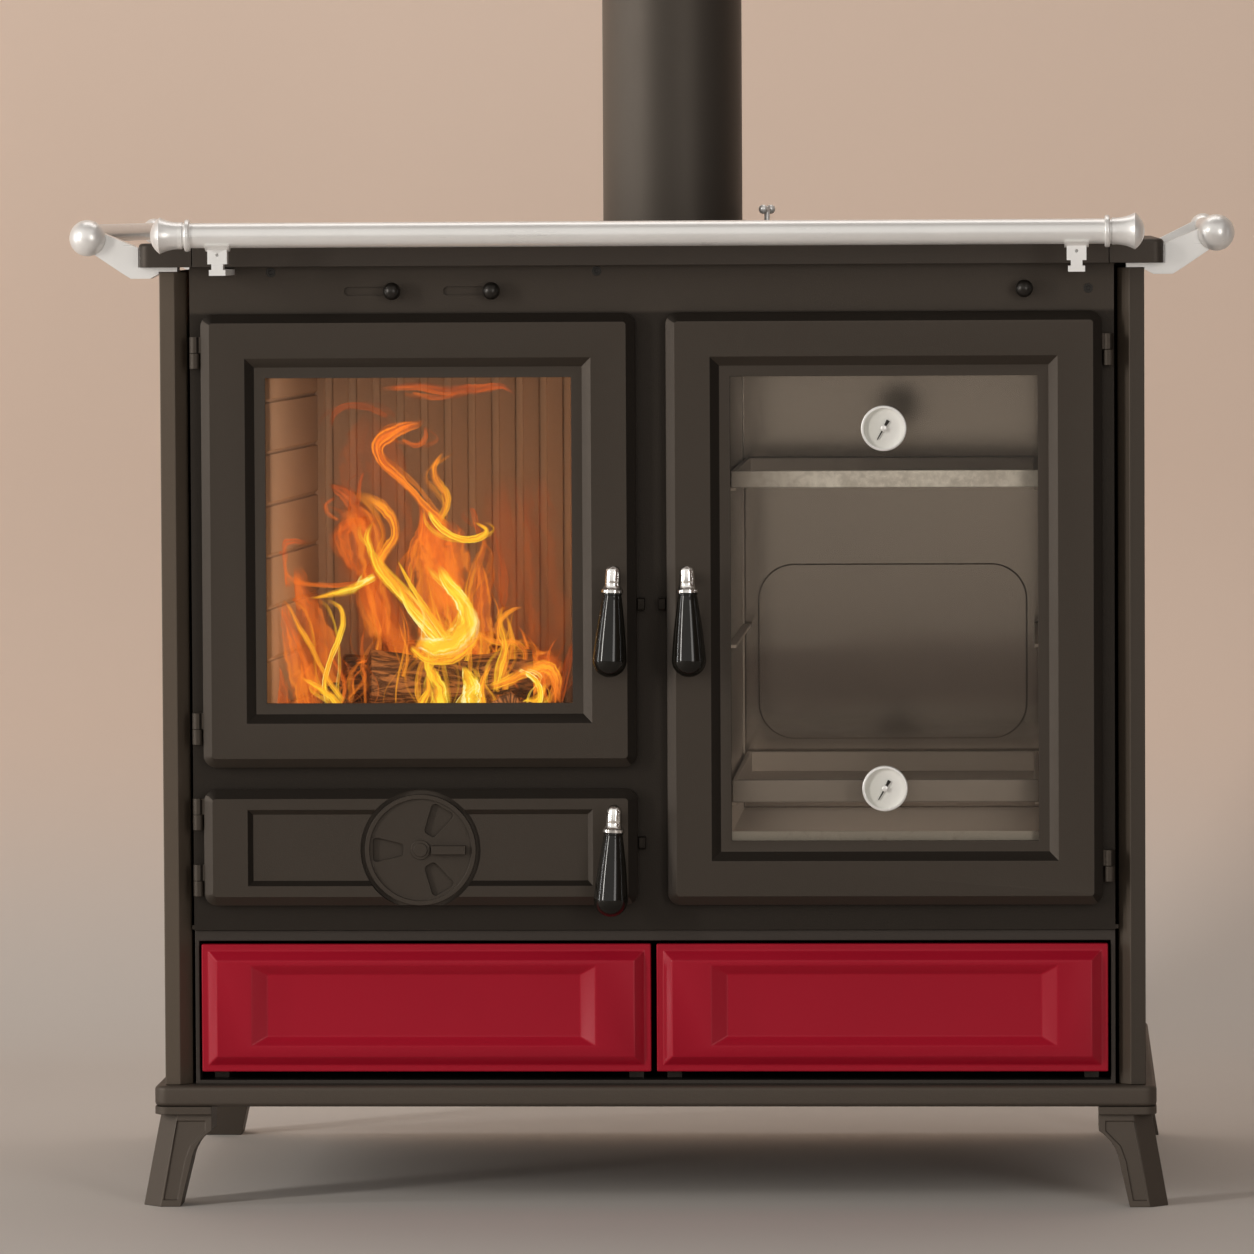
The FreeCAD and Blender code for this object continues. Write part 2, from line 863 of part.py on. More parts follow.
def fire_door_frame():
    frame = door_frame(-door_outer, -door_inner, fire_door_bottom, door_top)
    frame = fused([frame] + door_knuckles(-1, fire_door_bottom, door_top, hinge_inset))
    return frame.cut(spindle_bore(-handle_x, fire_handle_top))


def fire_door_glass():
    return door_glass(-door_outer, -door_inner, fire_door_bottom, door_top)


def fire_door_clips():
    return glass_clips(-door_outer, -door_inner, fire_door_bottom, door_top)


def fire_door_seal():
    return seal_ring(-door_outer, -door_inner, fire_door_bottom, door_top, frame_front - seat_gap)


def oven_door_frame():
    frame = door_frame(door_inner, door_outer, door_bottom, door_top)
    frame = fused([frame] + door_knuckles(1, door_bottom, door_top, hinge_inset))
    return frame.cut(spindle_bore(handle_x, fire_handle_top))


def gauge_heights():
    return [door_bottom + gauge_inset, door_top - gauge_inset]


def oven_door_glass():
    glass = door_glass(door_inner, door_outer, door_bottom, door_top)
    holes = [rod_y(gauge_stem_radius + pin_clearance, door_middle, glass_front - overrun,
                   glass_back + overrun, height) for height in gauge_heights()]
    return glass.cut(holes)


def oven_door_clips():
    return glass_clips(door_inner, door_outer, door_bottom, door_top)


def oven_door_seal():
    return seal_ring(door_inner, door_outer, door_bottom, door_top, frame_front - seat_gap)


def air_port(front, back, angle):
    # One wedge-shaped opening of the air disc, wider towards the rim
    slope = (port_outer_width - port_inner_width) / 2
    x0, x1 = -port_outer, -port_inner
    outer = port_outer_width / 2
    inner = port_inner_width / 2
    corners = [V(x0, front, -outer), V(x1, front, -outer + slope), V(x1, front, inner), V(x0, front, outer)]
    wedge = polygon_face(corners).extrude(V(0, back - front, 0))
    level = [edge for edge in wedge.Edges if abs(edge.tangentAt(edge.FirstParameter).y) > diagonal_share]
    wedge = wedge.makeFillet(port_corner, level)
    wedge.rotate(V(0, 0, 0), y_axis, angle)
    wedge.translate(V(-door_middle, 0, ash_middle))
    return wedge


def ash_door_panel():
    x0, x1, z0, z1 = -door_outer, -door_inner, door_bottom, ash_door_top
    panel = bevelled_slab(x0, x1, z0, z1, door_front, door_back, door_radius, door_bevel, door_bevel_depth)
    pocket = sloped_pocket(x0 + moulding_margin, x1 - moulding_margin, z0 + ash_moulding_margin,
                           z1 - ash_moulding_margin, door_front, moulding_depth - ledge_thick / 2,
                           ash_moulding_slope, ash_moulding_slope)
    scoop = rod_y(scoop_radius, -door_middle, door_front - overrun, scoop_floor, ash_middle)
    panel = panel.cut([pocket, scoop, seal_ring(x0, x1, z0, z1, door_back + overrun)])
    stud = rod_y(disc_stud_radius, -door_middle, disc_front, scoop_floor, ash_middle)
    panel = fused([panel, stud] + door_knuckles(-1, z0, z1, ash_hinge_inset))
    ports = [air_port(scoop_floor - overrun, door_back + overrun, port_step * (count + 0.5))
             for count in range(port_count)]
    return panel.cut(ports + [spindle_bore(-handle_x, ash_handle_top)])


def ash_door_seal():
    return seal_ring(-door_outer, -door_inner, door_bottom, ash_door_top, frame_front - seat_gap)


def air_disc():
    x, z = -door_middle, ash_middle
    rim_front = disc_back - disc_rim_height
    plate = rod_y(disc_radius, x, disc_front, disc_back, z)
    rim = rod_y(disc_radius, x, rim_front, disc_back, z)
    rim = rim.cut(rod_y(disc_radius - disc_rim, x, rim_front - overrun, disc_back + overrun, z))
    hub = rod_y(disc_hub_radius, x, disc_front - disc_hub_height, disc_front, z)
    cap = rod_y(disc_cap_radius, x, disc_front - disc_hub_height - disc_cap_height,
                disc_front - disc_hub_height, z)
    tab = block(x + disc_tab_start, x + disc_tab_start + disc_tab_length,
                disc_front - disc_tab_height, disc_front, z - disc_tab_width / 2, z + disc_tab_width / 2)
    disc = fused([plate, rim, hub, cap, tab])
    ports = [air_port(disc_front - overrun, disc_back + overrun, port_step * count)
             for count in range(port_count)]
    bore = rod_y(disc_stud_radius + pin_clearance, x, disc_front - pin_clearance, disc_back + overrun, z)
    return disc.cut(ports + [bore])


# Handles

def ferrule_profile(x, y, top):
    shoulder = top - ferrule_top_radius
    dome = ferrule_top_radius * diagonal_share
    points = {
        "peak": V(x, y, top),
        "brow": V(x + dome, y, shoulder + dome),
        "shoulder": V(x + ferrule_top_radius, y, shoulder),
        "waist": V(x + ferrule_waist_radius, y, top - ferrule_waist_drop),
        "flare": V(x + (ferrule_waist_radius + ferrule_collar_radius) / 2 - ferrule_waist_radius / 8, y,
                   top - (ferrule_waist_drop + ferrule_collar_drop) / 2 - ferrule_waist_radius / 8),
        "collar": V(x + ferrule_collar_radius, y, top - ferrule_collar_drop),
        "hem": V(x + ferrule_collar_radius, y, top - ferrule_length),
        "root": V(x, y, top - ferrule_length),
    }
    edges = [
        Part.Arc(points["peak"], points["brow"], points["shoulder"]).toShape(),
        Part.LineSegment(points["shoulder"], points["waist"]).toShape(),
        Part.Arc(points["waist"], points["flare"], points["collar"]).toShape(),
        Part.LineSegment(points["collar"], points["hem"]).toShape(),
        Part.LineSegment(points["hem"], points["root"]).toShape(),
        Part.LineSegment(points["root"], points["peak"]).toShape(),
    ]
    return Part.Face(Part.Wire(edges))


def grip_profile(x, y, top):
    widest_z = top - grip_bottom_drop + grip_radius
    neck = V(x + grip_neck_radius, y, top - ferrule_length)
    widest = V(x + grip_radius, y, widest_z)
    cheek = V(x + grip_radius * diagonal_share, y, widest_z - grip_radius * diagonal_share)
    tip = V(x, y, top - grip_bottom_drop)
    root = V(x, y, top - ferrule_length)
    edges = [
        Part.LineSegment(root, neck).toShape(),
        Part.LineSegment(neck, widest).toShape(),
        Part.Arc(widest, cheek, tip).toShape(),
        Part.LineSegment(tip, root).toShape(),
    ]
    return Part.Face(Part.Wire(edges))


def leaned(shape, x, top, lean):
    shape.rotate(V(x, 0, top - spindle_drop), y_axis, lean)
    return shape


def handle_spindle(x, top, lean, cam_side):
    # Chrome ferrule, the spindle through the door, and the latch cam on its inner end
    z = top - spindle_drop
    ferrule = turned(ferrule_profile(x, handle_y, top), x, handle_y, z_axis)
    cam_front = door_back + cam_gap
    spindle = rod_y(spindle_radius, x, handle_y, cam_front + cam_thick, z)
    tip_x = x + cam_side * (cam_radius - cam_tip_radius)
    tip_z = z - cam_reach
    hub = rod_y(cam_radius, x, cam_front, cam_front + cam_thick, z)
    tip = rod_y(cam_tip_radius, tip_x, cam_front, cam_front + cam_thick, tip_z)
    inner, outer = sorted((x + cam_side * (cam_radius - cam_tip_radius * 2), x + cam_side * cam_radius))
    arm = block(inner, outer, cam_front, cam_front + cam_thick, tip_z, z)
    return leaned(fused([ferrule, spindle, hub, tip, arm]), x, top, lean)


def handle_grip(x, top, lean):
    return leaned(turned(grip_profile(x, handle_y, top), x, handle_y, z_axis), x, top, lean)


def latch_keepers():
    # Small rollers' blocks on the stile, one beside the free edge of each door
    keepers = []
    for side, top in ((-1, fire_handle_top), (1, fire_handle_top), (-1, ash_handle_top)):
        middle = side * (door_inner - keeper_gap - keeper_width / 2)
        z = top - keeper_drop
        body = block(middle - keeper_width / 2, middle + keeper_width / 2, frame_front - keeper_length,
                     frame_front, z - keeper_height / 2, z + keeper_height / 2)
        nose = [edge for edge in body.Edges
                if edge.BoundBox.YMax < frame_front - keeper_length / 2
                and edge.BoundBox.XMax - edge.BoundBox.XMin > keeper_width / 2]
        keepers.append(body.makeFillet(keeper_width / 3, nose))
    return group(keepers)


# Gauges

def gauge_cases():
    front = glass_front - gauge_depth
    cases = []
    for z in gauge_heights():
        case = rod_y(gauge_radius, door_middle, front, glass_front, z)
        rim = [edge for edge in case.Edges if edge.BoundBox.YMax < front + gauge_wall]
        case = case.makeFillet(gauge_wall / 2, rim)
        bowl = rod_y(gauge_radius - gauge_wall, door_middle, front - overrun,
                     glass_front - gauge_dial_depth, z)
        stem = rod_y(gauge_stem_radius, door_middle, glass_front, glass_back + gauge_nut_height, z)
        nut = rod_y(gauge_nut_radius, door_middle, glass_back, glass_back + gauge_nut_height, z)
        cases.append(fused([case.cut(bowl), stem, nut]))
    return group(cases)


def gauge_dials():
    back = glass_front - gauge_dial_depth
    return group([rod_y(gauge_radius - gauge_wall, door_middle, back - gauge_dial_thick, back, z)
                  for z in gauge_heights()])


def gauge_pointer(z):
    # Thin at the tip and thick at the tail, turned to the resting reading
    dial = glass_front - gauge_dial_depth - gauge_dial_thick
    back = dial - pointer_gap
    front = back - pointer_thick
    tip, tail = pointer_tip_width / 2, pointer_tail_width / 2
    corners = [V(-pointer_tail_length, front, -tail), V(-pointer_tail_length, front, tail),
               V(0, front, tip * 2), V(pointer_tip_length, front, tip),
               V(pointer_tip_length, front, -tip), V(0, front, -tip * 2)]
    hand = polygon_face(corners).extrude(V(0, pointer_thick, 0))
    boss = rod_y(pointer_boss_radius, 0, front - pointer_thick, back, 0)
    pin = rod_y(pointer_pin_radius, 0, back, dial - pin_clearance, 0)
    pointer = fused([hand, boss, pin])
    pointer.rotate(V(0, 0, 0), y_axis, -pointer_angle)
    pointer.translate(V(door_middle, 0, z))
    return pointer


# Drawers

def drawer_frame():
    front = frame_front + drawer_frame_setback
    outer = block(-frame_half, frame_half, front, front + drawer_frame_depth, plinth_top, frame_bottom)
    side = frame_half - drawer_frame_side
    hole = block(-side, side, front - overrun, front + drawer_frame_depth + overrun,
                 plinth_top + drawer_frame_sill, drawer_top + drawer_frame_lip)
    return outer.cut(hole)


def right_drawer_front():
    x0, x1 = drawer_inner, drawer_half
    face = drawer_y
    back = face + drawer_front_thick
    flange = block(x0, x1, face + drawer_bevel, back, drawer_bottom, drawer_top)
    base = plain_outline(x0 + drawer_flange, x1 - drawer_flange, drawer_bottom + drawer_flange,
                         drawer_top - drawer_flange, face + drawer_bevel)
    step = drawer_flange + drawer_bevel
    top = plain_outline(x0 + step, x1 - step, drawer_bottom + step, drawer_top - step, face)
    raised = Part.makeLoft([base, top], True, True)
    pocket = sloped_pocket(x0 + drawer_panel_inner_margin, x1 - drawer_panel_outer_margin,
                           drawer_bottom + drawer_panel_rise, drawer_top - drawer_panel_drop, face,
                           drawer_panel_depth, drawer_panel_slope, drawer_panel_slope_upright)
    return fused([flange, raised]).cut(pocket)


def right_drawer_box():
    x0, x1 = drawer_inner + drawer_box_inset, drawer_half - drawer_box_inset
    front = drawer_y + drawer_front_thick
    low = drawer_bottom + drawer_box_lift
    outer = block(x0, x1, front, front + drawer_box_depth, low, drawer_top - drawer_box_headroom)
    inner = block(x0 + sheet_thick, x1 - sheet_thick, front + sheet_thick,
                  front + drawer_box_depth - sheet_thick, low + sheet_thick, drawer_top)
    return outer.cut(inner)


def drawer_runner(edge, side):
    # A rail under one edge of a drawer box, and the fin on it that guides the box's side
    low = plinth_top
    top = drawer_bottom + drawer_box_lift - slide_gap
    start = frame_front + drawer_frame_setback + drawer_frame_depth
    stop = drawer_y + drawer_front_thick + drawer_box_depth
    fin_near = edge + side * runner_gap
    fin_far = fin_near + side * runner_fin
    rail_x = sorted((edge - side * runner_width, fin_far))
    fin_x = sorted((fin_near, fin_far))
    rail = block(rail_x[0], rail_x[1], start, stop, low, top)
    fin = block(fin_x[0], fin_x[1], start, stop, top, top + runner_fin_height)
    return [rail, fin]


def drawer_runners():
    outer = drawer_runner(drawer_half - drawer_box_inset, 1)
    inner = drawer_runner(drawer_inner + drawer_box_inset, -1)
    return both_sides(group(outer + inner))


# Firebox

def shell_flange(x0, x1, z0, z1):
    return block(x0 - flange_lap, x1 + flange_lap, frame_back, frame_back + flange_thick,
                 z0 - flange_lap, z1 + flange_lap)


def firebox_shell():
    x0, x1 = -shell_outer, -shell_inner
    walls = block(x0, x1, frame_back, shell_back, deck_top, firebox_top)
    hollow = block(x0 + shell_wall, x1 - shell_wall, frame_back - overrun, firebox_back,
                   deck_top - overrun, firebox_top + overrun)
    ash_floor = block(x0, x1, frame_back, shell_back, ash_floor_top - shell_wall, ash_floor_top)
    shelf = block(x0, x1, frame_back, shell_back, grate_shelf_top - shell_wall, grate_shelf_top)
    flange = shell_flange(x0, x1, deck_top + flange_lap, firebox_top)
    throat = block(x0 + shell_wall, x1 - shell_wall, frame_back - overrun, frame_back + flange_thick + overrun,
                   deck_top, firebox_top - shell_wall)
    middle = -door_middle
    grate_y = grate_front() + grate_rest
    half = grate_width / 2 - grate_rest
    gap = block(middle - half, middle + half, grate_y, grate_y + grate_length - grate_rest * 2,
                grate_shelf_top - shell_wall - overrun, grate_shelf_top + overrun)
    return fused([walls.cut(hollow), flange.cut(throat), ash_floor, shelf]).cut(gap)


def grate_front():
    return (frame_back + firebox_back - rear_brick_thick - grate_length) / 2


def fire_grate():
    x0, x1 = -door_middle - grate_width / 2, -door_middle + grate_width / 2
    y0 = grate_front()
    plate = block(x0, x1, y0, y0 + grate_length, grate_shelf_top, grate_shelf_top + grate_thick)
    slots = []
    pitch = grate_bar + grate_slot
    room = grate_width - grate_border * 2 + grate_bar
    count = int(room // pitch)
    first = -door_middle - (count * pitch - grate_bar) / 2
    for place in range(count):
        left = first + place * pitch
        slots.append(block(left, left + grate_slot, y0 + grate_border, y0 + grate_length - grate_border,
                           grate_shelf_top - overrun, grate_shelf_top + grate_thick + overrun))
    return plate.cut(slots)


def side_brick():
    # The left wall lining: thicker towards the back, with courses scored across it
    x0 = -shell_outer + shell_wall
    y0, y1 = frame_back + flange_thick, firebox_back - rear_brick_thick
    corners = [V(x0, y0, grate_shelf_top), V(x0 + brick_front_thick, y0, grate_shelf_top),
               V(x0 + brick_back_thick, y1, grate_shelf_top), V(x0, y1, grate_shelf_top)]
    wall = polygon_face(corners).extrude(V(0, 0, brick_height))
    lean = math.atan2(brick_back_thick - brick_front_thick, y1 - y0)
    scores = []
    for course in range(1, int(brick_height // brick_course) + 1):
        z = grate_shelf_top + course * brick_course
        if z + brick_groove < grate_shelf_top + brick_height:
            score = block(-brick_groove_depth, brick_height, -(y1 - y0), (y1 - y0) * 2, z, z + brick_groove)
            score.rotate(V(0, 0, 0), z_axis, -math.degrees(lean))
            score.translate(V(x0 + brick_front_thick, y0, 0))
            scores.append(score)
    return wall.cut(scores)


def rear_brick():
    x0, x1 = -shell_outer + shell_wall, -shell_inner - shell_wall
    y0 = firebox_back - rear_brick_thick
    wall = block(x0, x1, y0, firebox_back, grate_shelf_top, grate_shelf_top + brick_height)
    grooves = []
    left = x0 + brick_back_thick + rear_rib_groove
    while left + rear_rib_groove < x1 - brick_back_thick:
        grooves.append(block(left, left + rear_rib_groove, y0 - overrun, y0 + rear_rib_depth,
                             grate_shelf_top + rear_rib_pitch, grate_shelf_top + brick_height + overrun))
        left += rear_rib_pitch
    return wall.cut(grooves)


def firebricks():
    left = side_brick()
    right = left.mirror(V(-door_middle, 0, 0), x_axis)
    return group([left, right, rear_brick()])


def ash_pan():
    x0 = -shell_outer + shell_wall + ash_pan_side_gap
    x1 = -shell_inner - shell_wall - ash_pan_side_gap
    y0 = frame_back + ash_pan_front_gap
    y1 = y0 + ash_pan_depth
    rise = ash_floor_top + sheet_thick
    top = ash_floor_top + ash_pan_height
    # welded from plates, so that every wall is a plain block
    floor = block(x0, x1, y0, y1, ash_floor_top, rise)
    left = block(x0, x0 + sheet_thick, y0, y1, rise, top)
    right = block(x1 - sheet_thick, x1, y0, y1, rise, top)
    front = block(x0 + sheet_thick, x1 - sheet_thick, y0, y0 + sheet_thick, rise, top)
    back = block(x0 + sheet_thick, x1 - sheet_thick, y1 - sheet_thick, y1, rise, top)
    lip = block(-door_middle - ash_pan_lip_width / 2, -door_middle + ash_pan_lip_width / 2,
                y0 - ash_pan_lip_reach, y0, top - sheet_thick, top)
    return group([floor, left, right, front, back, lip])


# Oven

def oven_box():
    outer = block(oven_left - oven_wall, oven_right + oven_wall, frame_back, oven_back + oven_wall,
                  oven_floor - oven_wall, oven_top + oven_wall)
    flange = shell_flange(shell_inner, shell_outer, door_bottom + door_overlap, door_top - door_overlap)
    cavity = block(oven_left, oven_right, frame_back - overrun, oven_back, oven_floor, oven_top)
    sill = block(oven_left, oven_right, frame_back - oven_sill_reach, frame_back,
                 oven_floor - oven_wall, oven_floor + oven_sill_height - oven_wall)
    emboss = rounded_slab(door_middle - emboss_width / 2, door_middle + emboss_width / 2,
                          oven_back - emboss_height, oven_back, emboss_bottom, emboss_top, emboss_radius)
    sill = sill.cut(block(oven_left, oven_right, frame_back - oven_sill_reach + sheet_thick, frame_back,
                          oven_floor, oven_top))
    return fused([fused([outer, flange]).cut(cavity), sill, emboss])


def oven_rack_side():
    # One side's ladder: two uprights against the wall and a rail under each level
    levels = [tray_level, spare_level, shelf_level]
    front = frame_back + runner_rail_front
    back = oven_back - runner_rail_back
    parts = []
    for level in levels:
        parts.append(block(oven_right - runner_rail_reach, oven_right, front, back,
                           level - runner_rail_thick, level))
    for y in (front, back - runner_post_width):
        parts.append(block(oven_right - runner_post_thick, oven_right, y, y + runner_post_width,
                           tray_level - runner_rail_thick - overrun, shelf_level))
    return fused(parts)


def oven_runners():
    right = oven_rack_side()
    return group([right, right.mirror(V(door_middle, 0, 0), x_axis)])


def oven_pan(level, height):
    x0, x1 = oven_left + tray_side_gap, oven_right - tray_side_gap
    x_in = runner_post_thick + tray_side_gap
    y0 = frame_back + tray_front_gap
    y1 = y0 + tray_length
    outer = block(x0, x1, y0, y1, level, level + height)
    hollow = block(x0 + tray_rim, x1 - tray_rim, y0 + tray_rim, y1 - tray_rim,
                   level + sheet_thick, level + height + overrun)
    sides = [block(x0 - overrun, oven_left + x_in, y0 - overrun, y1 + overrun, level - overrun,
                   level + height + overrun)]
    sides.append(sides[0].mirror(V(door_middle, 0, 0), x_axis))
    return outer.cut([hollow] + sides)


def oven_shelf():
    return oven_pan(shelf_level, shelf_height)


def oven_tray():
    return oven_pan(tray_level, tray_height)


# Top

def left_end_casting():
    slab = block(-plate_half, -hob_half - seam_gap, plate_front, plate_back, plate_bottom, plate_top)
    outer = [edge for edge in slab.Edges if edge.BoundBox.XMax < -plate_half + plate_edge_round
             and edge.BoundBox.YMax - edge.BoundBox.YMin < plate_edge_round]
    slab = slab.makeFillet(plate_corner_radius, outer)
    top = [edge for edge in slab.Edges if edge.BoundBox.ZMin > plate_top - plate_edge_round
           and edge.BoundBox.XMin < -hob_half - seam_gap - plate_edge_round
           and (edge.BoundBox.XMax < -plate_half + plate_corner_radius * 2
                or edge.BoundBox.YMax - edge.BoundBox.YMin < plate_edge_round)]
    return slab.makeFillet(plate_edge_round, top)


def top_end_castings():
    return both_sides(left_end_casting())


def hob_plate():
    slab = block(-hob_half, hob_half, plate_front, plate_back, plate_bottom, plate_top)
    rims = [edge for edge in slab.Edges if edge.BoundBox.ZMin > plate_top - plate_edge_round
            and edge.BoundBox.YMax - edge.BoundBox.YMin < plate_edge_round]
    slab = slab.makeFillet(plate_edge_round, rims)
    under = block(-hob_half + hob_skirt, hob_half - hob_skirt, plate_front + plate_overhang + hob_skirt,
                  plate_back - plate_overhang - hob_skirt, plate_bottom - overrun, plate_top - hob_thick)
    x, y = -door_middle, hob_centre_y
    rebate = rod_z(ring_radius + hob_lip_gap, x, y, plate_top - ring_thick - seat_gap, plate_top + overrun)
    fire_hole = rod_z(ring_radius - hob_rebate, x, y, plate_bottom - overrun, plate_top + overrun)
    flue_hole = rod_z(flue_radius + hob_lip_gap, 0, flue_y, plate_bottom - overrun, plate_top + overrun)
    stem_hole = rod_z(damper_stem_radius + pin_clearance, damper_offset, damper_y,
                      plate_bottom - overrun, plate_top + overrun)
    return slab.cut([under, rebate, fire_hole, flue_hole, stem_hole])


def hob_ring():
    x, y = -door_middle, hob_centre_y
    low = plate_top - ring_thick
    disc = rod_z(ring_radius, x, y, low, plate_top)
    rebate = rod_z(lid_radius + hob_lip_gap, x, y, plate_top - lid_thick - seat_gap, plate_top + overrun)
    hole = rod_z(lid_radius - hob_rebate, x, y, low - overrun, plate_top + overrun)
    return disc.cut([rebate, hole])


def hob_lid():
    x, y = -door_middle, hob_centre_y
    disc = rod_z(lid_radius, x, y, plate_top - lid_thick, plate_top)
    notch = block(x - lid_notch_length / 2, x + lid_notch_length / 2, y - lid_notch_width / 2,
                  y + lid_notch_width / 2, plate_top - lid_notch_depth, plate_top + overrun)
    return disc.cut(notch)


# Flue

def flue_collar():
    outer = flue_radius + collar_wall
    body = rod_z(outer, 0, flue_y, plate_top, plate_top + collar_height)
    flange = rod_z(outer + collar_flange, 0, flue_y, plate_top, plate_top + collar_flange_thick)
    rim = [edge for edge in flange.Edges if edge.BoundBox.ZMin > plate_top + collar_flange_thick / 2]
    flange = flange.makeFillet(collar_flange_thick / 2, rim)
    spigot = rod_z(flue_radius, 0, flue_y, plate_top - collar_spigot_drop, plate_top)
    passage = rod_z(flue_radius - collar_wall, 0, flue_y, plate_bottom - overrun,
                    plate_top + collar_height + overrun)
    seat = rod_z(flue_radius + pin_clearance, 0, flue_y, plate_top + collar_height - flue_socket_depth,
                 plate_top + collar_height + overrun)
    return fused([body, flange, spigot]).cut([passage, seat])


def flue_pipe():
    low = plate_top + collar_height - flue_socket_depth
    pipe = rod_z(flue_radius, 0, flue_y, low, flue_top)
    return pipe.cut(rod_z(flue_radius - flue_wall, 0, flue_y, low - overrun, flue_top + overrun))


def two_ball_bar():
    # A level bar through the origin with a ball on each end
    half = damper_bar_length / 2
    neck = half - math.sqrt(damper_ball_radius ** 2 - damper_bar_radius ** 2)
    end = half + damper_ball_radius
    edges = [
        Part.Arc(V(-end, 0, 0), V(-half, 0, damper_ball_radius), V(-neck, 0, damper_bar_radius)).toShape(),
        Part.LineSegment(V(-neck, 0, damper_bar_radius), V(neck, 0, damper_bar_radius)).toShape(),
        Part.Arc(V(neck, 0, damper_bar_radius), V(half, 0, damper_ball_radius), V(end, 0, 0)).toShape(),
        Part.LineSegment(V(end, 0, 0), V(-end, 0, 0)).toShape(),
    ]
    return Part.Face(Part.Wire(edges)).revolve(V(0, 0, 0), x_axis, 360)


def damper_handle():
    x, y = damper_offset, damper_y
    bar_z = plate_top + damper_stem_rise
    stem = rod_z(damper_stem_radius, x, y, plate_bottom - flap_gap, bar_z + damper_stem_radius)
    collar = rod_z(damper_collar_radius, x, y, plate_top + seat_gap,
                   plate_top + seat_gap + damper_collar_height)
    bar = two_ball_bar()
    bar.rotate(V(0, 0, 0), z_axis, damper_bar_angle)
    bar.translate(V(x, y, bar_z))
    return fused([stem, collar, bar])


def damper_flap():
    x, y = damper_offset, damper_y
    top = plate_bottom - flap_gap
    return block(x - flap_half_length, x + flap_half_length, y - flap_thick / 2, y + flap_thick / 2,
                 top - flap_height, top)


# Controls

def air_slider(offset):
    # A ball knob on a stem, and the shutter that fills the slot while the knob is at its right end
    x = slider_x(offset)
    reach = frame_front - slider_reach
    left, right = slot_ends(x)
    knob = ball(slider_ball_radius, x, reach, control_height)
    stem = rod_y(slider_stem_radius, x, reach, shutter_front, control_height)
    shutter = block(left - shutter_lap, right + shutter_lap, shutter_front, shutter_front + shutter_thick,
                    control_height - shutter_height / 2, control_height + shutter_height / 2)
    return fused([knob, stem, shutter])


def oven_damper_rod():
    x = frame_half - rod_offset
    reach = frame_front - slider_reach
    knob = ball(slider_ball_radius, x, reach, control_height)
    end = frame_back + rod_length
    stem = rod_y(slider_stem_radius, x, reach, end, control_height)
    flap = block(x - rod_flap_width / 2, x + rod_flap_width / 2, end, end + rod_flap_thick,
                 control_height - rod_flap_height / 2, control_height + rod_flap_height / 2)
    return fused([knob, stem, flap])


# Rails

def front_rail():
    end = rail_half_length - cap_dome_length - cap_flare_length + cap_socket_depth
    return rod_x(rail_radius, -end, end, rail_y, rail_height)


def rail_cap():
    # The right-hand cap: a ring collar, a trumpet that flares to a rim, and a domed end
    rim_x = rail_half_length - cap_dome_length
    neck_x = rim_x - cap_flare_length
    y, z = rail_y, rail_height
    neck = V(neck_x, y, z + cap_neck_radius)
    swell = V(rim_x - cap_flare_length / 3, y, z + (cap_neck_radius * 2 + rail_cap_radius) / 3)
    rim = V(rim_x, y, z + rail_cap_radius)
    dome_radius = (rail_cap_radius ** 2 + cap_dome_length ** 2) / (cap_dome_length * 2)
    half_angle = math.asin(rail_cap_radius / dome_radius) / 2
    crown = V(rail_half_length - dome_radius * (1 - math.cos(half_angle)), y,
              z + dome_radius * math.sin(half_angle))
    peak = V(rail_half_length, y, z)
    root = V(neck_x, y, z)
    edges = [
        Part.Arc(neck, swell, rim).toShape(),
        Part.Arc(rim, crown, peak).toShape(),
        Part.LineSegment(peak, root).toShape(),
        Part.LineSegment(root, neck).toShape(),
    ]
    cap = Part.Face(Part.Wire(edges)).revolve(V(0, y, z), x_axis, 360)
    bore = rod_x(rail_radius, neck_x - overrun, neck_x + cap_socket_depth, y, z)
    return cap.cut(bore)


def front_rail_caps():
    return both_sides(rail_cap())


def front_rail_collars():
    collar = rod_x(ring_collar_radius, ring_collar_offset - ring_collar_width / 2,
                   ring_collar_offset + ring_collar_width / 2, rail_y, rail_height)
    collar = collar.makeFillet(ring_collar_width / 3, [edge for edge in collar.Edges if edge.Closed])
    collar = collar.cut(rod_x(rail_radius, 0, rail_half_length, rail_y, rail_height))
    return both_sides(collar)


def rail_bracket():
    # Saddle under the tube, upright block, and a foot that runs back to the front frame
    x = bracket_offset
    saddle_z = rail_height - rail_radius - saddle_thick
    saddle = rod_x(rail_radius + saddle_thick, x - saddle_width / 2, x + saddle_width / 2, rail_y, rail_height)
    keep = block(x - saddle_width, x + saddle_width, rail_y - rail_cap_radius, rail_y + rail_cap_radius,
                 saddle_z - overrun, saddle_z + saddle_drop)
    saddle = saddle.common(keep)
    block_top = saddle_z + saddle_thick
    block_low = block_top - saddle_thick - block_height
    post = block(x - block_width / 2, x + block_width / 2, rail_y - block_depth / 2,
                 rail_y + block_depth / 2, block_low, block_top)
    foot_low = bracket_foot_z
    neck = bracket_foot_width / 2 - bracket_notch
    stem = block(x - neck, x + neck, rail_y - block_depth / 2, rail_y + block_depth / 2, foot_low, block_low)
    foot = block(x - bracket_foot_width / 2, x + bracket_foot_width / 2, rail_y - block_depth / 2,
                 frame_front, foot_low, foot_low + bracket_foot_height)
    hole = rod_y(bracket_hole_radius, x, rail_y - block_depth, rail_y, block_top - saddle_thick * 2)
    tube = rod_x(rail_radius, x - saddle_width, x + saddle_width, rail_y, rail_height)
    return fused([saddle, post, stem, foot]).cut([tube, hole])


def front_rail_brackets():
    return both_sides(rail_bracket())


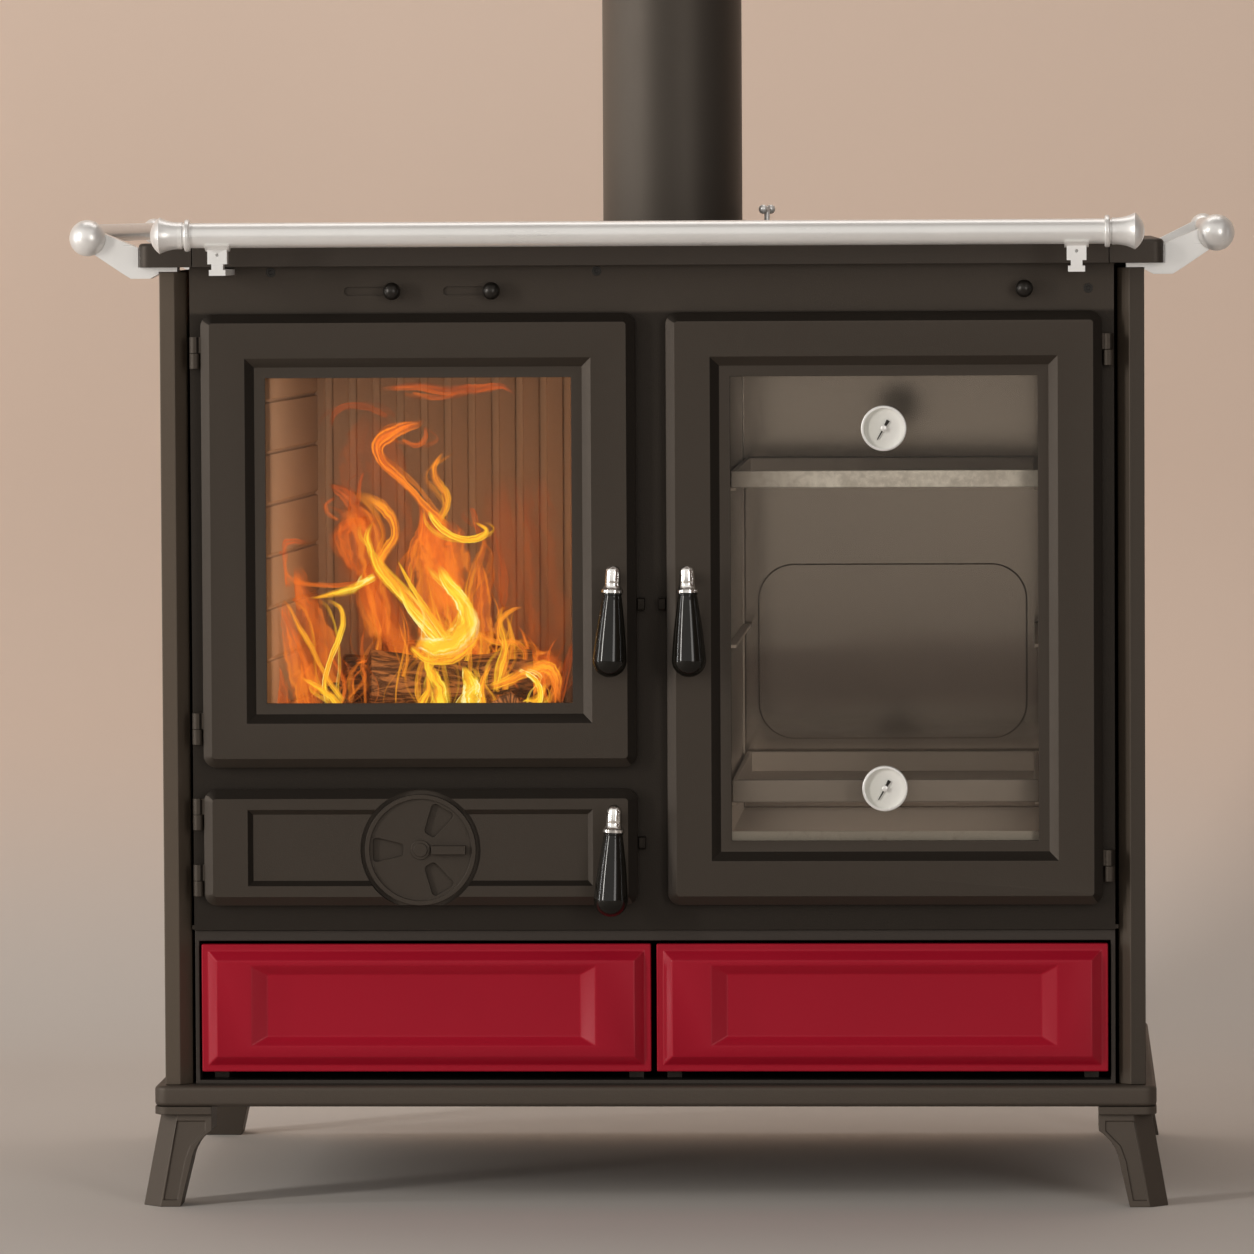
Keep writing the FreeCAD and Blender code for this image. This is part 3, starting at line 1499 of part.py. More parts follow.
def side_rails():
    y1 = side_ball_y + side_rail_length
    tube = rod_y(side_rail_radius, side_rail_offset, side_ball_y, y1, side_rail_height)
    for radius, y, z in ((side_ball_radius, side_ball_y, side_ball_height),
                         (rear_ball_radius, y1, side_rail_height)):
        tube = tube.cut(ball(radius, side_rail_offset, y, z))
    return both_sides(tube)


def side_rail_balls():
    front = ball(side_ball_radius, side_rail_offset, side_ball_y, side_ball_height)
    rear = ball(rear_ball_radius, side_rail_offset, side_ball_y + side_rail_length, side_rail_height)
    return group([front, rear, mirrored(front), mirrored(rear)])


def side_rail_arm(y, radius, height, inward):
    # From a tab on the side panel, under the plate, round its edge and up to the ball; it lies on the
    # side of the ball that faces the middle of the stove's depth
    edge = plate_half + arm_edge_gap
    low = plate_bottom - arm_lobe_drop
    tab_in = body_half - arm_tab_reach
    ball_x = side_rail_offset
    reach = radius * diagonal_share
    points = [
        V(tab_in, y, body_top), V(tab_in, y, plate_bottom), V(edge, y, plate_bottom),
        V(edge, y, arm_inner_height), V(ball_x - reach, y, height + arm_neck / 2),
        V(ball_x, y, height), V(ball_x - reach / 2, y, height - reach - arm_neck / 3),
        V(plate_half + arm_lobe_out, y, low + arm_lobe_drop / 2),
        V(plate_half + arm_lobe_out / 2, y, low), V(plate_half - arm_lobe_in, y, low),
        V(body_half + seat_gap, y, body_top - tab_thick / 2), V(body_half + seat_gap, y, body_top),
    ]
    arm = polygon_face(points).extrude(V(0, arm_width * inward, 0))
    return arm.cut(ball(radius, ball_x, y, height))


def side_rail_arms():
    front_y = side_ball_y
    rear_y = side_ball_y + side_rail_length
    front = side_rail_arm(front_y, side_ball_radius, side_ball_height, 1)
    rear = side_rail_arm(rear_y, rear_ball_radius, side_rail_height, -1)
    rear = rear.cut(rod_y(side_rail_radius, side_rail_offset, front_y, rear_y, side_rail_height))
    front = front.cut(rod_y(side_rail_radius, side_rail_offset, front_y, rear_y, side_rail_height))
    return group([front, rear, mirrored(front), mirrored(rear)])


def pieces():
    lean, oven = left_lean, oven_lean
    return {
        "base_plinth": base_plinth(),
        "feet": feet(),
        "left_side_panel": left_side_panel(),
        "right_side_panel": mirrored(left_side_panel()),
        "back_panel": back_panel(),
        "body_deck": body_deck(),
        "front_frame": front_frame(),
        "front_screws": front_screws(),
        "hinge_lugs": hinge_lugs(),
        "latch_keepers": latch_keepers(),
        "fire_door_frame": fire_door_frame(),
        "fire_door_glass": fire_door_glass(),
        "fire_door_clips": fire_door_clips(),
        "fire_door_seal": fire_door_seal(),
        "fire_handle_spindle": handle_spindle(-handle_x, fire_handle_top, lean, -1),
        "fire_handle_grip": handle_grip(-handle_x, fire_handle_top, lean),
        "ash_door_panel": ash_door_panel(),
        "ash_door_seal": ash_door_seal(),
        "ash_handle_spindle": handle_spindle(-handle_x, ash_handle_top, lean, -1),
        "ash_handle_grip": handle_grip(-handle_x, ash_handle_top, lean),
        "air_disc": air_disc(),
        "oven_door_frame": oven_door_frame(),
        "oven_door_glass": oven_door_glass(),
        "oven_door_clips": oven_door_clips(),
        "oven_door_seal": oven_door_seal(),
        "oven_handle_spindle": handle_spindle(handle_x, fire_handle_top, oven, 1),
        "oven_handle_grip": handle_grip(handle_x, fire_handle_top, oven),
        "gauge_cases": gauge_cases(),
        "gauge_dials": gauge_dials(),
        "lower_gauge_pointer": gauge_pointer(gauge_heights()[0]),
        "upper_gauge_pointer": gauge_pointer(gauge_heights()[1]),
        "drawer_frame": drawer_frame(),
        "drawer_runners": drawer_runners(),
        "left_drawer_front": mirrored(right_drawer_front()),
        "left_drawer_box": mirrored(right_drawer_box()),
        "right_drawer_front": right_drawer_front(),
        "right_drawer_box": right_drawer_box(),
        "firebox_shell": firebox_shell(),
        "firebricks": firebricks(),
        "fire_grate": fire_grate(),
        "ash_pan": ash_pan(),
        "oven_box": oven_box(),
        "oven_runners": oven_runners(),
        "oven_shelf": oven_shelf(),
        "oven_tray": oven_tray(),
        "top_end_castings": top_end_castings(),
        "hob_plate": hob_plate(),
        "hob_ring": hob_ring(),
        "hob_lid": hob_lid(),
        "flue_collar": flue_collar(),
        "flue_pipe": flue_pipe(),
        "damper_handle": damper_handle(),
        "damper_flap": damper_flap(),
        "left_air_slider": air_slider(first_slider_offset),
        "right_air_slider": air_slider(second_slider_offset),
        "oven_damper_rod": oven_damper_rod(),
        "front_rail": front_rail(),
        "front_rail_fittings": group([front_rail_caps(), front_rail_collars()]),
        "front_rail_brackets": front_rail_brackets(),
        "side_rails": group([side_rails(), side_rail_balls(), side_rail_arms()]),
    }


def main():
    os.makedirs("parts", exist_ok=True)
    for name, shape in pieces().items():
        shape.exportStep("parts/" + name + ".step")
        print(name, len(shape.Solids), "solids", "valid" if shape.isValid() else "NOT VALID")


main()
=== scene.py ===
import bmesh
import bpy
import json
import math
import random
from mathutils import Matrix, Vector, noise


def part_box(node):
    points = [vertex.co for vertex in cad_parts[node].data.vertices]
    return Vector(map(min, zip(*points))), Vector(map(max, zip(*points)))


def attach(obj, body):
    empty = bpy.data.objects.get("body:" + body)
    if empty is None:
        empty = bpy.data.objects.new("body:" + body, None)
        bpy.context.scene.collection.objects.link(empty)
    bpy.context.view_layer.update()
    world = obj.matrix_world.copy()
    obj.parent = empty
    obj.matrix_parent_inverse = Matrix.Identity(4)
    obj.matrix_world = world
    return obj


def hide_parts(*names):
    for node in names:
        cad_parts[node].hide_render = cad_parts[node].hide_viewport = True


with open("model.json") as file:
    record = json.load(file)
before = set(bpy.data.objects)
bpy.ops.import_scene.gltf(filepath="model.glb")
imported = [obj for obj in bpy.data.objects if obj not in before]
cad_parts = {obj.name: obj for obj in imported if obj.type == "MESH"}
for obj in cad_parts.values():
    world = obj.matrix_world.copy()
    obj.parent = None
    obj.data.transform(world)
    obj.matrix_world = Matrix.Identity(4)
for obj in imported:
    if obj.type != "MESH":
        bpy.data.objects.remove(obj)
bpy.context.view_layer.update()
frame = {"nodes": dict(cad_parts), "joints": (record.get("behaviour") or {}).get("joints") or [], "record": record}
nodes = frame["nodes"]
record = frame["record"]
bodyOf = {node: body for body, names in record["behaviour"]["bodies"].items() for node in names}
slotOf = {entry["node"]: entry["material_slot"] for entry in record["subparts"]}
scene = bpy.context.scene


# Shader helpers

def operator(operation, swapped=False):
    def calculated(self, *others):
        values = (*others, self) if swapped else (self, *others)
        return self.shader.node("Math", values, operation=operation)
    return calculated


class Wire:
    # a shader socket that can be used in sums
    def __init__(self, shader, socket):
        self.shader = shader
        self.socket = socket

    __add__ = __radd__ = operator("ADD")
    __mul__ = __rmul__ = operator("MULTIPLY")
    __sub__ = operator("SUBTRACT")
    __rsub__ = operator("SUBTRACT", True)
    __abs__ = operator("ABSOLUTE")

    def clipped(self):
        return self.shader.node("Clamp", [self])

    def between(self, low, high):
        # 0 below low, 1 above high, smooth between them
        return self.shader.node("MapRange", [self, low, high, 0, 1], interpolation_type="SMOOTHSTEP")


class Shader:
    def __init__(self, name, owners=bpy.data.materials):
        self.material = owners.new(name)
        self.material.use_nodes = True
        self.tree = self.material.node_tree
        self.tree.nodes.clear()

    def node(self, kind, values=(), output=0, **settings):
        made = self.tree.nodes.new("ShaderNode" + kind)
        for key, value in settings.items():
            setattr(made, key, value)
        for key, value in values.items() if isinstance(values, dict) else enumerate(values):
            if isinstance(value, Wire):
                self.tree.links.new(value.socket, made.inputs[key])
            else:
                made.inputs[key].default_value = value
        return Wire(self, made.outputs[output])

    def coords(self, scale=(1, 1, 1), kind="Object"):
        return self.node("Mapping", {"Vector": self.node("TexCoord", output=kind), "Scale": scale})

    def axes(self, vector):
        return [self.node("SeparateXYZ", [vector], number) for number in range(3)]

    def noise(self, coords, scale, detail=2, rough=0.5, distortion=0):
        return self.node("TexNoise", {"Vector": coords, "Scale": scale, "Detail": detail,
                                      "Roughness": rough, "Distortion": distortion})

    def mix(self, share, first, second):
        # colours, by share
        first, second = (rgba(each) if isinstance(each, tuple) else each for each in (first, second))
        return self.node("Mix", {0: share, 6: first, 7: second}, 2, data_type="RGBA")

    def ramp(self, share, stops):
        found = self.node("ValToRGB", [share])
        elements = found.socket.node.color_ramp.elements
        while len(elements) < len(stops):
            elements.new(1)
        for element, (place, colour) in zip(elements, stops):
            element.position = place
            element.color = (*colour, 1)
        return found

    def bump(self, height, distance, strength=1):
        return self.node("Bump", {"Height": height, "Distance": distance, "Strength": strength})

    def principled(self, values):
        return self.node("BsdfPrincipled", values, "BSDF")

    def painted(self, values):
        return self.finish(self.principled(values))

    def finish(self, surface, kind="OutputMaterial"):
        end = self.tree.nodes.new("ShaderNode" + kind)
        self.tree.links.new(surface.socket, end.inputs["Surface"])
        return self.material


def rgba(colour):
    return (*colour, 1)


def scaled(colour, share):
    return tuple(part * share for part in colour)


def paintedCasting(name, colour, grain, depth, rough, gloss=0.62, zone=(), upTo=()):
    # matt paint over metal, with fine grain and a cloudy tone; a zone is a copy of the paint
    # with its share of the colour and its own gloss: painted light where the share is above 1, painted shade
    # where it is below 1, up to a place on each named axis
    s = Shader(name)
    place = s.coords()
    cloud = s.noise(place, 7, 3, 0.6)
    fleck = s.noise(place, 260, 2, 0.6)
    fine = s.noise(place, grain, 3, 0.65)
    tone = cloud * 0.6 + fleck * 0.4
    bumped = s.bump(fine, depth, 0.6)
    paints = []
    for share, shine in ((1, gloss), *zone):
        paints.append(s.principled({
            "Base Color": s.mix(tone, scaled(colour, 0.84 * share), scaled(colour, 1.16 * share)),
            "Roughness": cloud * 0.14 + fleck * 0.08 + (rough - 0.11),
            "Specular IOR Level": shine,
            "Specular Tint": rgba((1, 0.86, 0.74)),
            "Normal": bumped,
        }))
    if not zone:
        return s.finish(paints[0])
    # painted light and painted shade: the zone's copy stands where each named axis is below its place
    paintedLightMask = 1
    for axis, start, end in upTo:
        paintedLightMask = paintedLightMask * (1 - s.axes(place)[axis].between(start, end))
    return s.finish(s.node("MixShader", [paintedLightMask, *paints]))


def satinMetal(name, colour, rough, stretch, mirror):
    # brushed or satin bright metal; the brush lines run along the axis with the small stretch
    s = Shader(name)
    cloud = s.noise(s.coords(), 22, 3, 0.55)
    line = s.noise(s.coords(stretch), 900, 3, 0.6)
    return s.painted({
        "Base Color": s.mix(cloud, scaled(colour, 0.94), scaled(colour, 1.03)),
        "Metallic": mirror,
        "Roughness": line * 0.1 + cloud * 0.08 + (rough - 0.09),
        "Normal": s.bump(line, 0.00002, 0.4),
    })


def glossyEnamel(name, colour, tint):
    s = Shader(name)
    place = s.coords()
    cloud = s.noise(place, 5, 2, 0.5)
    peel = s.noise(place, 420, 2, 0.5)
    return s.painted({
        "Base Color": s.mix(cloud, scaled(colour, 0.92), scaled(colour, 1.08)),
        "Roughness": cloud * 0.08 + 0.3,
        "Specular IOR Level": 0.34,
        "Specular Tint": rgba(tint),
        "Coat Weight": 0.08,
        "Coat Roughness": 0.2,
        "Normal": s.bump(peel, 0.00012, 0.35),
    })


def glossyBlack(name, colour):
    s = Shader(name)
    place = s.coords()
    haze = s.noise(place, 60, 3, 0.6)
    return s.painted({
        "Base Color": s.mix(haze, scaled(colour, 0.8), scaled(colour, 1.3)),
        "Roughness": haze * 0.03 + 0.03,
        "Specular IOR Level": 0.34,
    })


def clearGlass(name, tint, haze, gloss):
    # what lies behind shows through; the surface adds a reflection and a little haze
    s = Shader(name)
    smear = s.noise(s.coords((1, 1, 2)), 6, 4, 0.6)
    clear = s.node("BsdfTransparent", {"Color": rgba(tint)})
    film = s.principled({
        "Base Color": rgba(haze),
        "Roughness": smear * 0.05 + 0.02,
        "Specular IOR Level": 0.5,
    })
    facing = s.node("Fresnel", {"IOR": 1.5})
    share = ((facing + smear * 0.035 + 0.01) * gloss).clipped()
    return s.finish(s.node("MixShader", [share, clear, film]))


def rope(name, colour):
    s = Shader(name)
    place = s.coords()
    fibre = s.noise(place, 1500, 3, 0.7)
    patch = s.noise(place, 40, 3, 0.6)
    return s.painted({
        "Base Color": s.mix(patch * 0.5 + fibre * 0.5, scaled(colour, 0.55), scaled(colour, 1.35)),
        "Roughness": 0.95,
        "Sheen Weight": 0.3,
        "Normal": s.bump(fibre, 0.0003, 0.8),
    })


def firebrick(name, colour, face):
    # sooty brick; the grooves behind the rear face are painted paler, painted light against their own shade
    s = Shader(name)
    place = s.coords()
    speck = s.node("TexVoronoi", {"Vector": place, "Scale": 320})
    patch = s.noise(place, 14, 5, 0.65)
    grain = s.noise(place, 500, 4, 0.7)
    _, depth, height = s.axes(place)
    soot = (height.between(0.40, 0.66) * 0.3 + patch * 0.5).clipped()
    # painted light: the grooves behind the rear face are paler
    paintedLightGrooves = depth.between(face + 0.0008, face + 0.002)
    bare = s.mix(patch, scaled(colour, 0.7), scaled(colour, 1.2))
    speckled = s.mix(speck.between(0, 0.25) * 0.4, bare, (0.5, 0.42, 0.34))
    darkTone = s.mix(soot * 0.45, speckled, (0.16, 0.125, 0.1))
    return s.painted({
        "Base Color": s.mix(paintedLightGrooves, darkTone, (0.46, 0.4, 0.335)),
        "Roughness": 0.92,
        "Normal": s.bump(grain + patch * 2, 0.0006, 0.7),
    })


def ovenLiner(name, colour, sill, back):
    # satin stainless sheet with long soft stains, smoother at the back, paler in patches at the front
    # of the sill; painted light makes it paler under the tray, and a darker band crosses the back wall
    s = Shader(name)
    place = s.coords()
    stain = s.noise(s.coords((0.6, 0.6, 1.6)), 7, 4, 0.55)
    bandWave = s.noise(s.coords((1, 1, 2.6)), 5, 2, 0.5)
    brushed = s.noise(s.coords((0.04, 0.3, 1)), 500, 3, 0.6)
    _, depth, height = s.axes(place)
    fore = 1 - depth.between(sill[0], sill[0] + 0.0004)
    low = 1 - height.between(sill[1], sill[1] + 0.0004)
    # the front of the sill turns paler and non-metallic in patches
    paleFront = fore * low * s.noise(place, 45, 5, 0.7).between(0.2, 0.5)
    rear = depth.between(back - 0.02, back)
    # a darker band across the back wall just above the tray, its height wavering
    darkTone = (1 - abs(height - 0.415 - bandWave * 0.06).between(0.012, 0.045)) * rear
    plain = s.mix(stain, scaled(colour, 0.84), scaled(colour, 1.16))
    # painted light: below z 0.37 m, under the tray, the liner is nearly twice as pale, fading out by 0.41 m
    base = s.mix(1 - height.between(0.37, 0.41), plain, scaled(colour, 1.9))
    darker = s.mix(darkTone * 0.48, base, (0.1, 0.068, 0.062))
    return s.painted({
        "Base Color": s.mix(paleFront, darker, (0.92, 0.9, 0.84)),
        "Metallic": (rear * 0.3 + 0.55) * (1 - paleFront),
        "Roughness": stain * 0.08 + brushed * 0.05 + 0.3 - rear * 0.25,
        "Normal": s.bump(brushed * (1 - rear), 0.00004, 0.35),
    })


def paleLipSteel(name, bright, colour, lip):
    # sheet as dull as the liner, paler and speckled along the shelf's front lip; painted light makes the faces
    # behind the front, chiefly the tops, paler
    s = Shader(name)
    place = s.coords()
    aside, depth, height = s.axes(place)
    stain = s.noise(place, 26, 5, 0.65)
    speck = s.noise(place, 75, 5, 0.75).between(0.36, 0.64)
    scratch = s.noise(s.coords((0.05, 1, 1)), 700, 3, 0.7)
    # only the shelf's lip turns paler and speckled, from about x 0.05 m rightwards and fully past 0.16 m
    paleFront = (1 - depth.between(lip, lip + 0.002)) * height.between(0.5, 0.6) * aside.between(0.05, 0.16)
    paleLipShare = (paleFront * (0.3 + stain * 0.5 + speck * 0.4)).clipped()
    front = s.mix(stain, scaled(colour, 0.86), scaled(colour, 1.14))
    # painted light: every face behind the front faces, chiefly the tops, is 2.1 times paler
    base = s.mix(depth.between(lip + 0.001, lip + 0.004), front, scaled(colour, 2.1))
    return s.painted({
        "Base Color": s.mix(paleLipShare, base, bright),
        "Metallic": 0.5 - paleLipShare * 0.5,
        "Roughness": 0.4 + speck * 0.1,
        "Normal": s.bump(scratch, 0.00006, 0.5),
    })


def dialFace(name, colour, middle):
    # a pale dial, a little greyer on the side away from the light
    s = Shader(name)
    place = s.coords()
    cloud = s.noise(place, 60, 3, 0.6)
    shade = 1 - s.axes(place)[0].between(middle - 0.018, middle + 0.012)
    base = s.mix(cloud, scaled(colour, 0.94), scaled(colour, 1.04))
    return s.painted({
        "Base Color": s.mix(shade * 0.6, base, (0.68, 0.68, 0.6)),
        "Roughness": cloud * 0.1 + 0.4,
    })


def charredWood(name):
    # U runs round a log and V along it: long wavy grain, shallow cracks, a little glow underneath
    s = Shader(name)
    uv = s.coords((7, 1, 1), "UV")
    fibre = s.noise(uv, 4.2, 4, 0.6, 1.9)
    grain = s.noise(s.coords((40, 3, 1), "UV"), 3, 3, 0.6, 0.4)
    check = s.node("TexVoronoi", {"Vector": s.coords((24, 9, 1), "UV"), "Scale": 1},
                   feature="DISTANCE_TO_EDGE")
    patch = s.noise(s.coords(), 13, 4, 0.6)
    char = patch.between(0.48, 0.68)
    crack = (1 - check.between(0, 0.12)) * char
    hot = (crack * s.noise(s.coords(), 31, 3, 0.6).between(0.52, 0.68)).clipped()
    bark = s.mix(fibre.between(0.42, 0.6), (0.09, 0.045, 0.02), (0.36, 0.18, 0.07))
    coal = s.mix(grain, (0.012, 0.01, 0.009), (0.085, 0.062, 0.045))
    return s.painted({
        "Base Color": s.mix(char, bark, coal),
        "Roughness": 0.86,
        "Emission Color": s.mix(hot, (0, 0, 0), (1, 0.2, 0.015)),
        "Emission Strength": 0.9,
        "Normal": s.bump(grain * 0.35 + fibre * 0.5 - crack, 0.0014, 0.9),
    })


def emberBed(name):
    s = Shader(name)
    place = s.coords()
    lump = s.node("TexVoronoi", {"Vector": place, "Scale": 105, "Smoothness": 0.4, "Randomness": 1},
                  feature="SMOOTH_F1")
    patch = s.noise(place, 19, 4, 0.6)
    grain = s.noise(place, 420, 3, 0.6)
    hot = (lump.between(0.35, 0.75) * patch.between(0.4, 0.62)).clipped()
    ash = s.mix(grain, (0.035, 0.03, 0.027), (0.2, 0.175, 0.15))
    return s.painted({
        "Base Color": ash,
        "Roughness": 0.95,
        "Emission Color": s.mix(hot, (0.012, 0.001, 0), (1, 0.27, 0.03)),
        "Emission Strength": 1.5,
        "Normal": s.bump(grain * 0.6 - lump * 1.6, 0.0016, 0.8),
    })


def flameSheet(name):
    # U runs across a tongue and V from its root to its tip; each tongue carries its heat and density
    s = Shader(name)
    across, along, _ = s.axes(s.node("TexCoord", output="UV"))
    heat, density, phase = s.axes(s.node("Attribute", output="Vector", attribute_name="tongue"))
    curl = s.noise(s.coords((1, 1, 0.6)), 42, 3, 0.6, 1)
    fray = s.noise(s.coords((1, 1, 0.7)), 130, 3, 0.6, 0.6)
    lane = s.node("CombineXYZ", [across * 2.6 + curl * 1.4, along * 1.3 + phase, phase * 3])
    strand = s.noise(lane, 1.9, 3, 0.55)
    side = abs((across - 0.5) * 2 + (curl - 0.5) * 0.8 + (fray - 0.5) * 0.45)
    body = 1 - side.between(0.12, 1)
    thread = strand.between(0.4, 0.6)
    rim = 1 - abs(side - 0.66).between(0, 0.24)
    root = along.between(0, 0.08)
    tip = 1 - along.between(0.8, 1)
    warmth = (heat * 0.74 + body * 0.14 + rim * 0.14 + thread * 0.16 - along * 0.12).clipped()
    cover = (density * (body * (thread * 0.42 + heat * 0.6 + 0.28) + rim * thread * 0.5)).clipped()
    glow = s.ramp(warmth, [
        (0, (0.42, 0.045, 0.008)), (0.2, (0.75, 0.1, 0.014)), (0.42, (0.98, 0.2, 0.025)),
        (0.62, (1, 0.32, 0.03)), (0.8, (1, 0.5, 0.03)), (0.93, (1, 0.72, 0.06)), (1, (1, 0.9, 0.4))])
    outer = 1 - abs((across - 0.5) * 2).between(0.8, 1)
    return s.painted({
        "Base Color": rgba((0, 0, 0)),
        "Roughness": 1,
        "Specular IOR Level": 0,
        "Emission Color": glow,
        "Emission Strength": 1.25,
        "Alpha": cover * outer * root * tip,
    })


print("materials")
anthracite = (0.019, 0.0145, 0.0105)
ovenGrey = (0.31, 0.278, 0.252)
materials = {
    "cast_anthracite": paintedCasting("castAnthracite", anthracite, 900, 0.00022, 0.52),
    "panel_anthracite": paintedCasting("panelAnthracite", anthracite, 1400, 0.0001, 0.48),
    "plinth_anthracite": paintedCasting("plinthAnthracite", (0.055, 0.044, 0.035), 800, 0.00025, 0.55),
    "hob_iron": paintedCasting("hobIron", (0.022, 0.018, 0.015), 700, 0.0002, 0.5),
    # painted light: left of x -0.055 m the flue's paint is three times paler and glossier, fading out by -0.02 m
    "flue_black": paintedCasting("fluePaintedLight", (0.04, 0.034, 0.028), 1500, 0.00006, 0.5,
                                 zone=[(3, 0.8)], upTo=[(0, -0.055, -0.02)]),
    "red_enamel": glossyEnamel("redEnamel", (0.41, 0.0065, 0.024), (1, 0.55, 0.58)),
    "drawer_steel": paintedCasting("drawerSteel", (0.016, 0.014, 0.013), 1500, 0.00008, 0.5),
    "chrome": satinMetal("satinChrome", (0.98, 0.97, 0.95), 0.3, (0.02, 1, 1), 0.35),
    "grip_black": glossyBlack("gripBlack", (0.009, 0.008, 0.006)),
    "black_steel": glossyEnamel("blackSteel", (0.014, 0.012, 0.01), (1, 0.95, 0.9)),
    "door_glass": clearGlass("doorGlass", (0.93, 0.905, 0.87), (0.32, 0.29, 0.26), 0.95),
    "clip_steel": satinMetal("clipSteel", (0.5, 0.48, 0.45), 0.38, (1, 1, 0.05), 1),
    "rope": rope("sealRope", (0.2, 0.19, 0.175)),
    "gauge_steel": satinMetal("gaugeSteel", (0.98, 0.97, 0.94), 0.3, (1, 1, 1), 0.25),
    "dial_white": dialFace("dialWhite", (0.99, 0.985, 0.94), 0.20465),
    "firebox_iron": paintedCasting("fireboxIron", (0.06, 0.05, 0.042), 500, 0.0004, 0.8),
    "firebrick": firebrick("firebrick", (0.5, 0.41, 0.33), 0.121),
    "oven_liner": ovenLiner("ovenLiner", ovenGrey, (-0.2345, 0.3365), 0.18),
    "oven_steel": paleLipSteel("ovenSteel", (0.97, 0.95, 0.89), ovenGrey, -0.2205),
}

# parts that stand in the doors' shade or catch more light than the rest
localPaint = {
    # painted shade: below z 0.786 m, between and under the doors, the frame is darker and less glossy
    "front_frame": paintedCasting("framePaintedShade", anthracite, 900, 0.00022, 0.52,
                                  zone=[(0.3, 0.36)], upTo=[(2, 0.786, 0.79)]),
    # painted light: the front of the panel, before y -0.228 m, is four times paler and glossier, fading out by
    # -0.212 m
    "left_side_panel": paintedCasting("leftPaintedLight", anthracite, 1400, 0.0001, 0.48,
                                      zone=[(4, 0.75)], upTo=[(1, -0.228, -0.212)]),
    # painted light: the post's bevel, left of x 0.4195 m and before y -0.228 m, is three times paler
    "right_side_panel": paintedCasting("rightPaintedLight", anthracite, 1400, 0.0001, 0.48,
                                       zone=[(3, 0.62)], upTo=[(0, 0.4195, 0.4205), (1, -0.228, -0.212)]),
}
polished = satinMetal("polishedChrome", (0.93, 0.91, 0.88), 0.12, (1, 1, 1), 1)
for node in ("fire_handle_spindle", "ash_handle_spindle", "oven_handle_spindle"):
    localPaint[node] = polished
shadedCasting = paintedCasting("shadedCasting", scaled(anthracite, 0.3), 900, 0.00022, 0.6, 0.3)
localPaint["latch_keepers"] = shadedCasting


# Mesh helpers

def placed(name, data):
    made = bpy.data.objects.new(name, data)
    scene.collection.objects.link(made)
    return made


def newPiece(name, mesh, material, body):
    piece = placed(name, mesh)
    if material is not None and not mesh.materials:
        mesh.materials.append(material)
    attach(piece, body)
    return piece


def camel(node):
    first, *rest = node.split("_")
    return first + "".join(word.capitalize() for word in rest)


def smoothMesh(mesh, angle):
    mesh.shade_smooth()
    mesh.set_sharp_from_angle(angle=math.radians(angle))


def meshOf(work, name, angle):
    # the closed shape in work as a mesh, smooth but for edges past the angle
    bmesh.ops.recalc_face_normals(work, faces=work.faces)
    mesh = bpy.data.meshes.new(name)
    work.to_mesh(mesh)
    work.free()
    smoothMesh(mesh, angle)
    return mesh


def bridge(work, low, high, columns):
    # faces between two rings, of which one may be a single point, each with its corners' columns and rows
    made = []
    for column in range(columns):
        alone = [(column, 0)]
        pair = [(column, column), (column + 1, (column + 1) % columns)]
        corners = [(low[at], (place, 0)) for place, at in (pair if len(low) > 1 else alone)]
        corners += [(high[at], (place, 1)) for place, at in (pair[::-1] if len(high) > 1 else alone)]
        points, spots = zip(*corners)
        made.append((work.faces.new(points), spots))
    return made


def gridFaces(work, grid):
    # the faces of a grid of points, each with its corners' rows and columns
    made = []
    for row in range(len(grid) - 1):
        for column in range(len(grid[0]) - 1):
            corners = [(row, column), (row, column + 1), (row + 1, column + 1), (row + 1, column)]
            made.append((work.faces.new([grid[r][c] for r, c in corners]), corners))
    return made


def paintOf(node):
    return localPaint.get(node, materials[slotOf[node]])


def pivotOf(joint):
    return next(Vector(entry["pos_m"]) for entry in frame["joints"] if entry["name"] == joint)


slope = {"ahead": 0.2, "aside": 0.35}
slotFace = -0.2443


def turnedAway(polygon):
    # the mouldings' slopes that face right or up, away from the light
    x, y, z = polygon.normal
    return y < -slope["ahead"] and max(x, z) > slope["aside"]


def behindSlot(polygon):
    # a slider's shutter, as against the knob before it
    return polygon.center.y > slotFace


partPaint = {
    **dict.fromkeys(("fire_door_frame", "ash_door_panel", "oven_door_frame"), (turnedAway, shadedCasting)),
    **dict.fromkeys(("left_air_slider", "right_air_slider"), (behindSlot, materials["cast_anthracite"])),
}

# flat faces round a circle, which shade evenly by the area of their faces
roundCut = ("hob_plate", "ash_door_panel")
# distance that joins points, metres; angles of a flat face and of a turned piece's sharp edge, degrees
edges = {"join": 0.000004, "flat": 0.8, "segments": 2, "turned": 40}


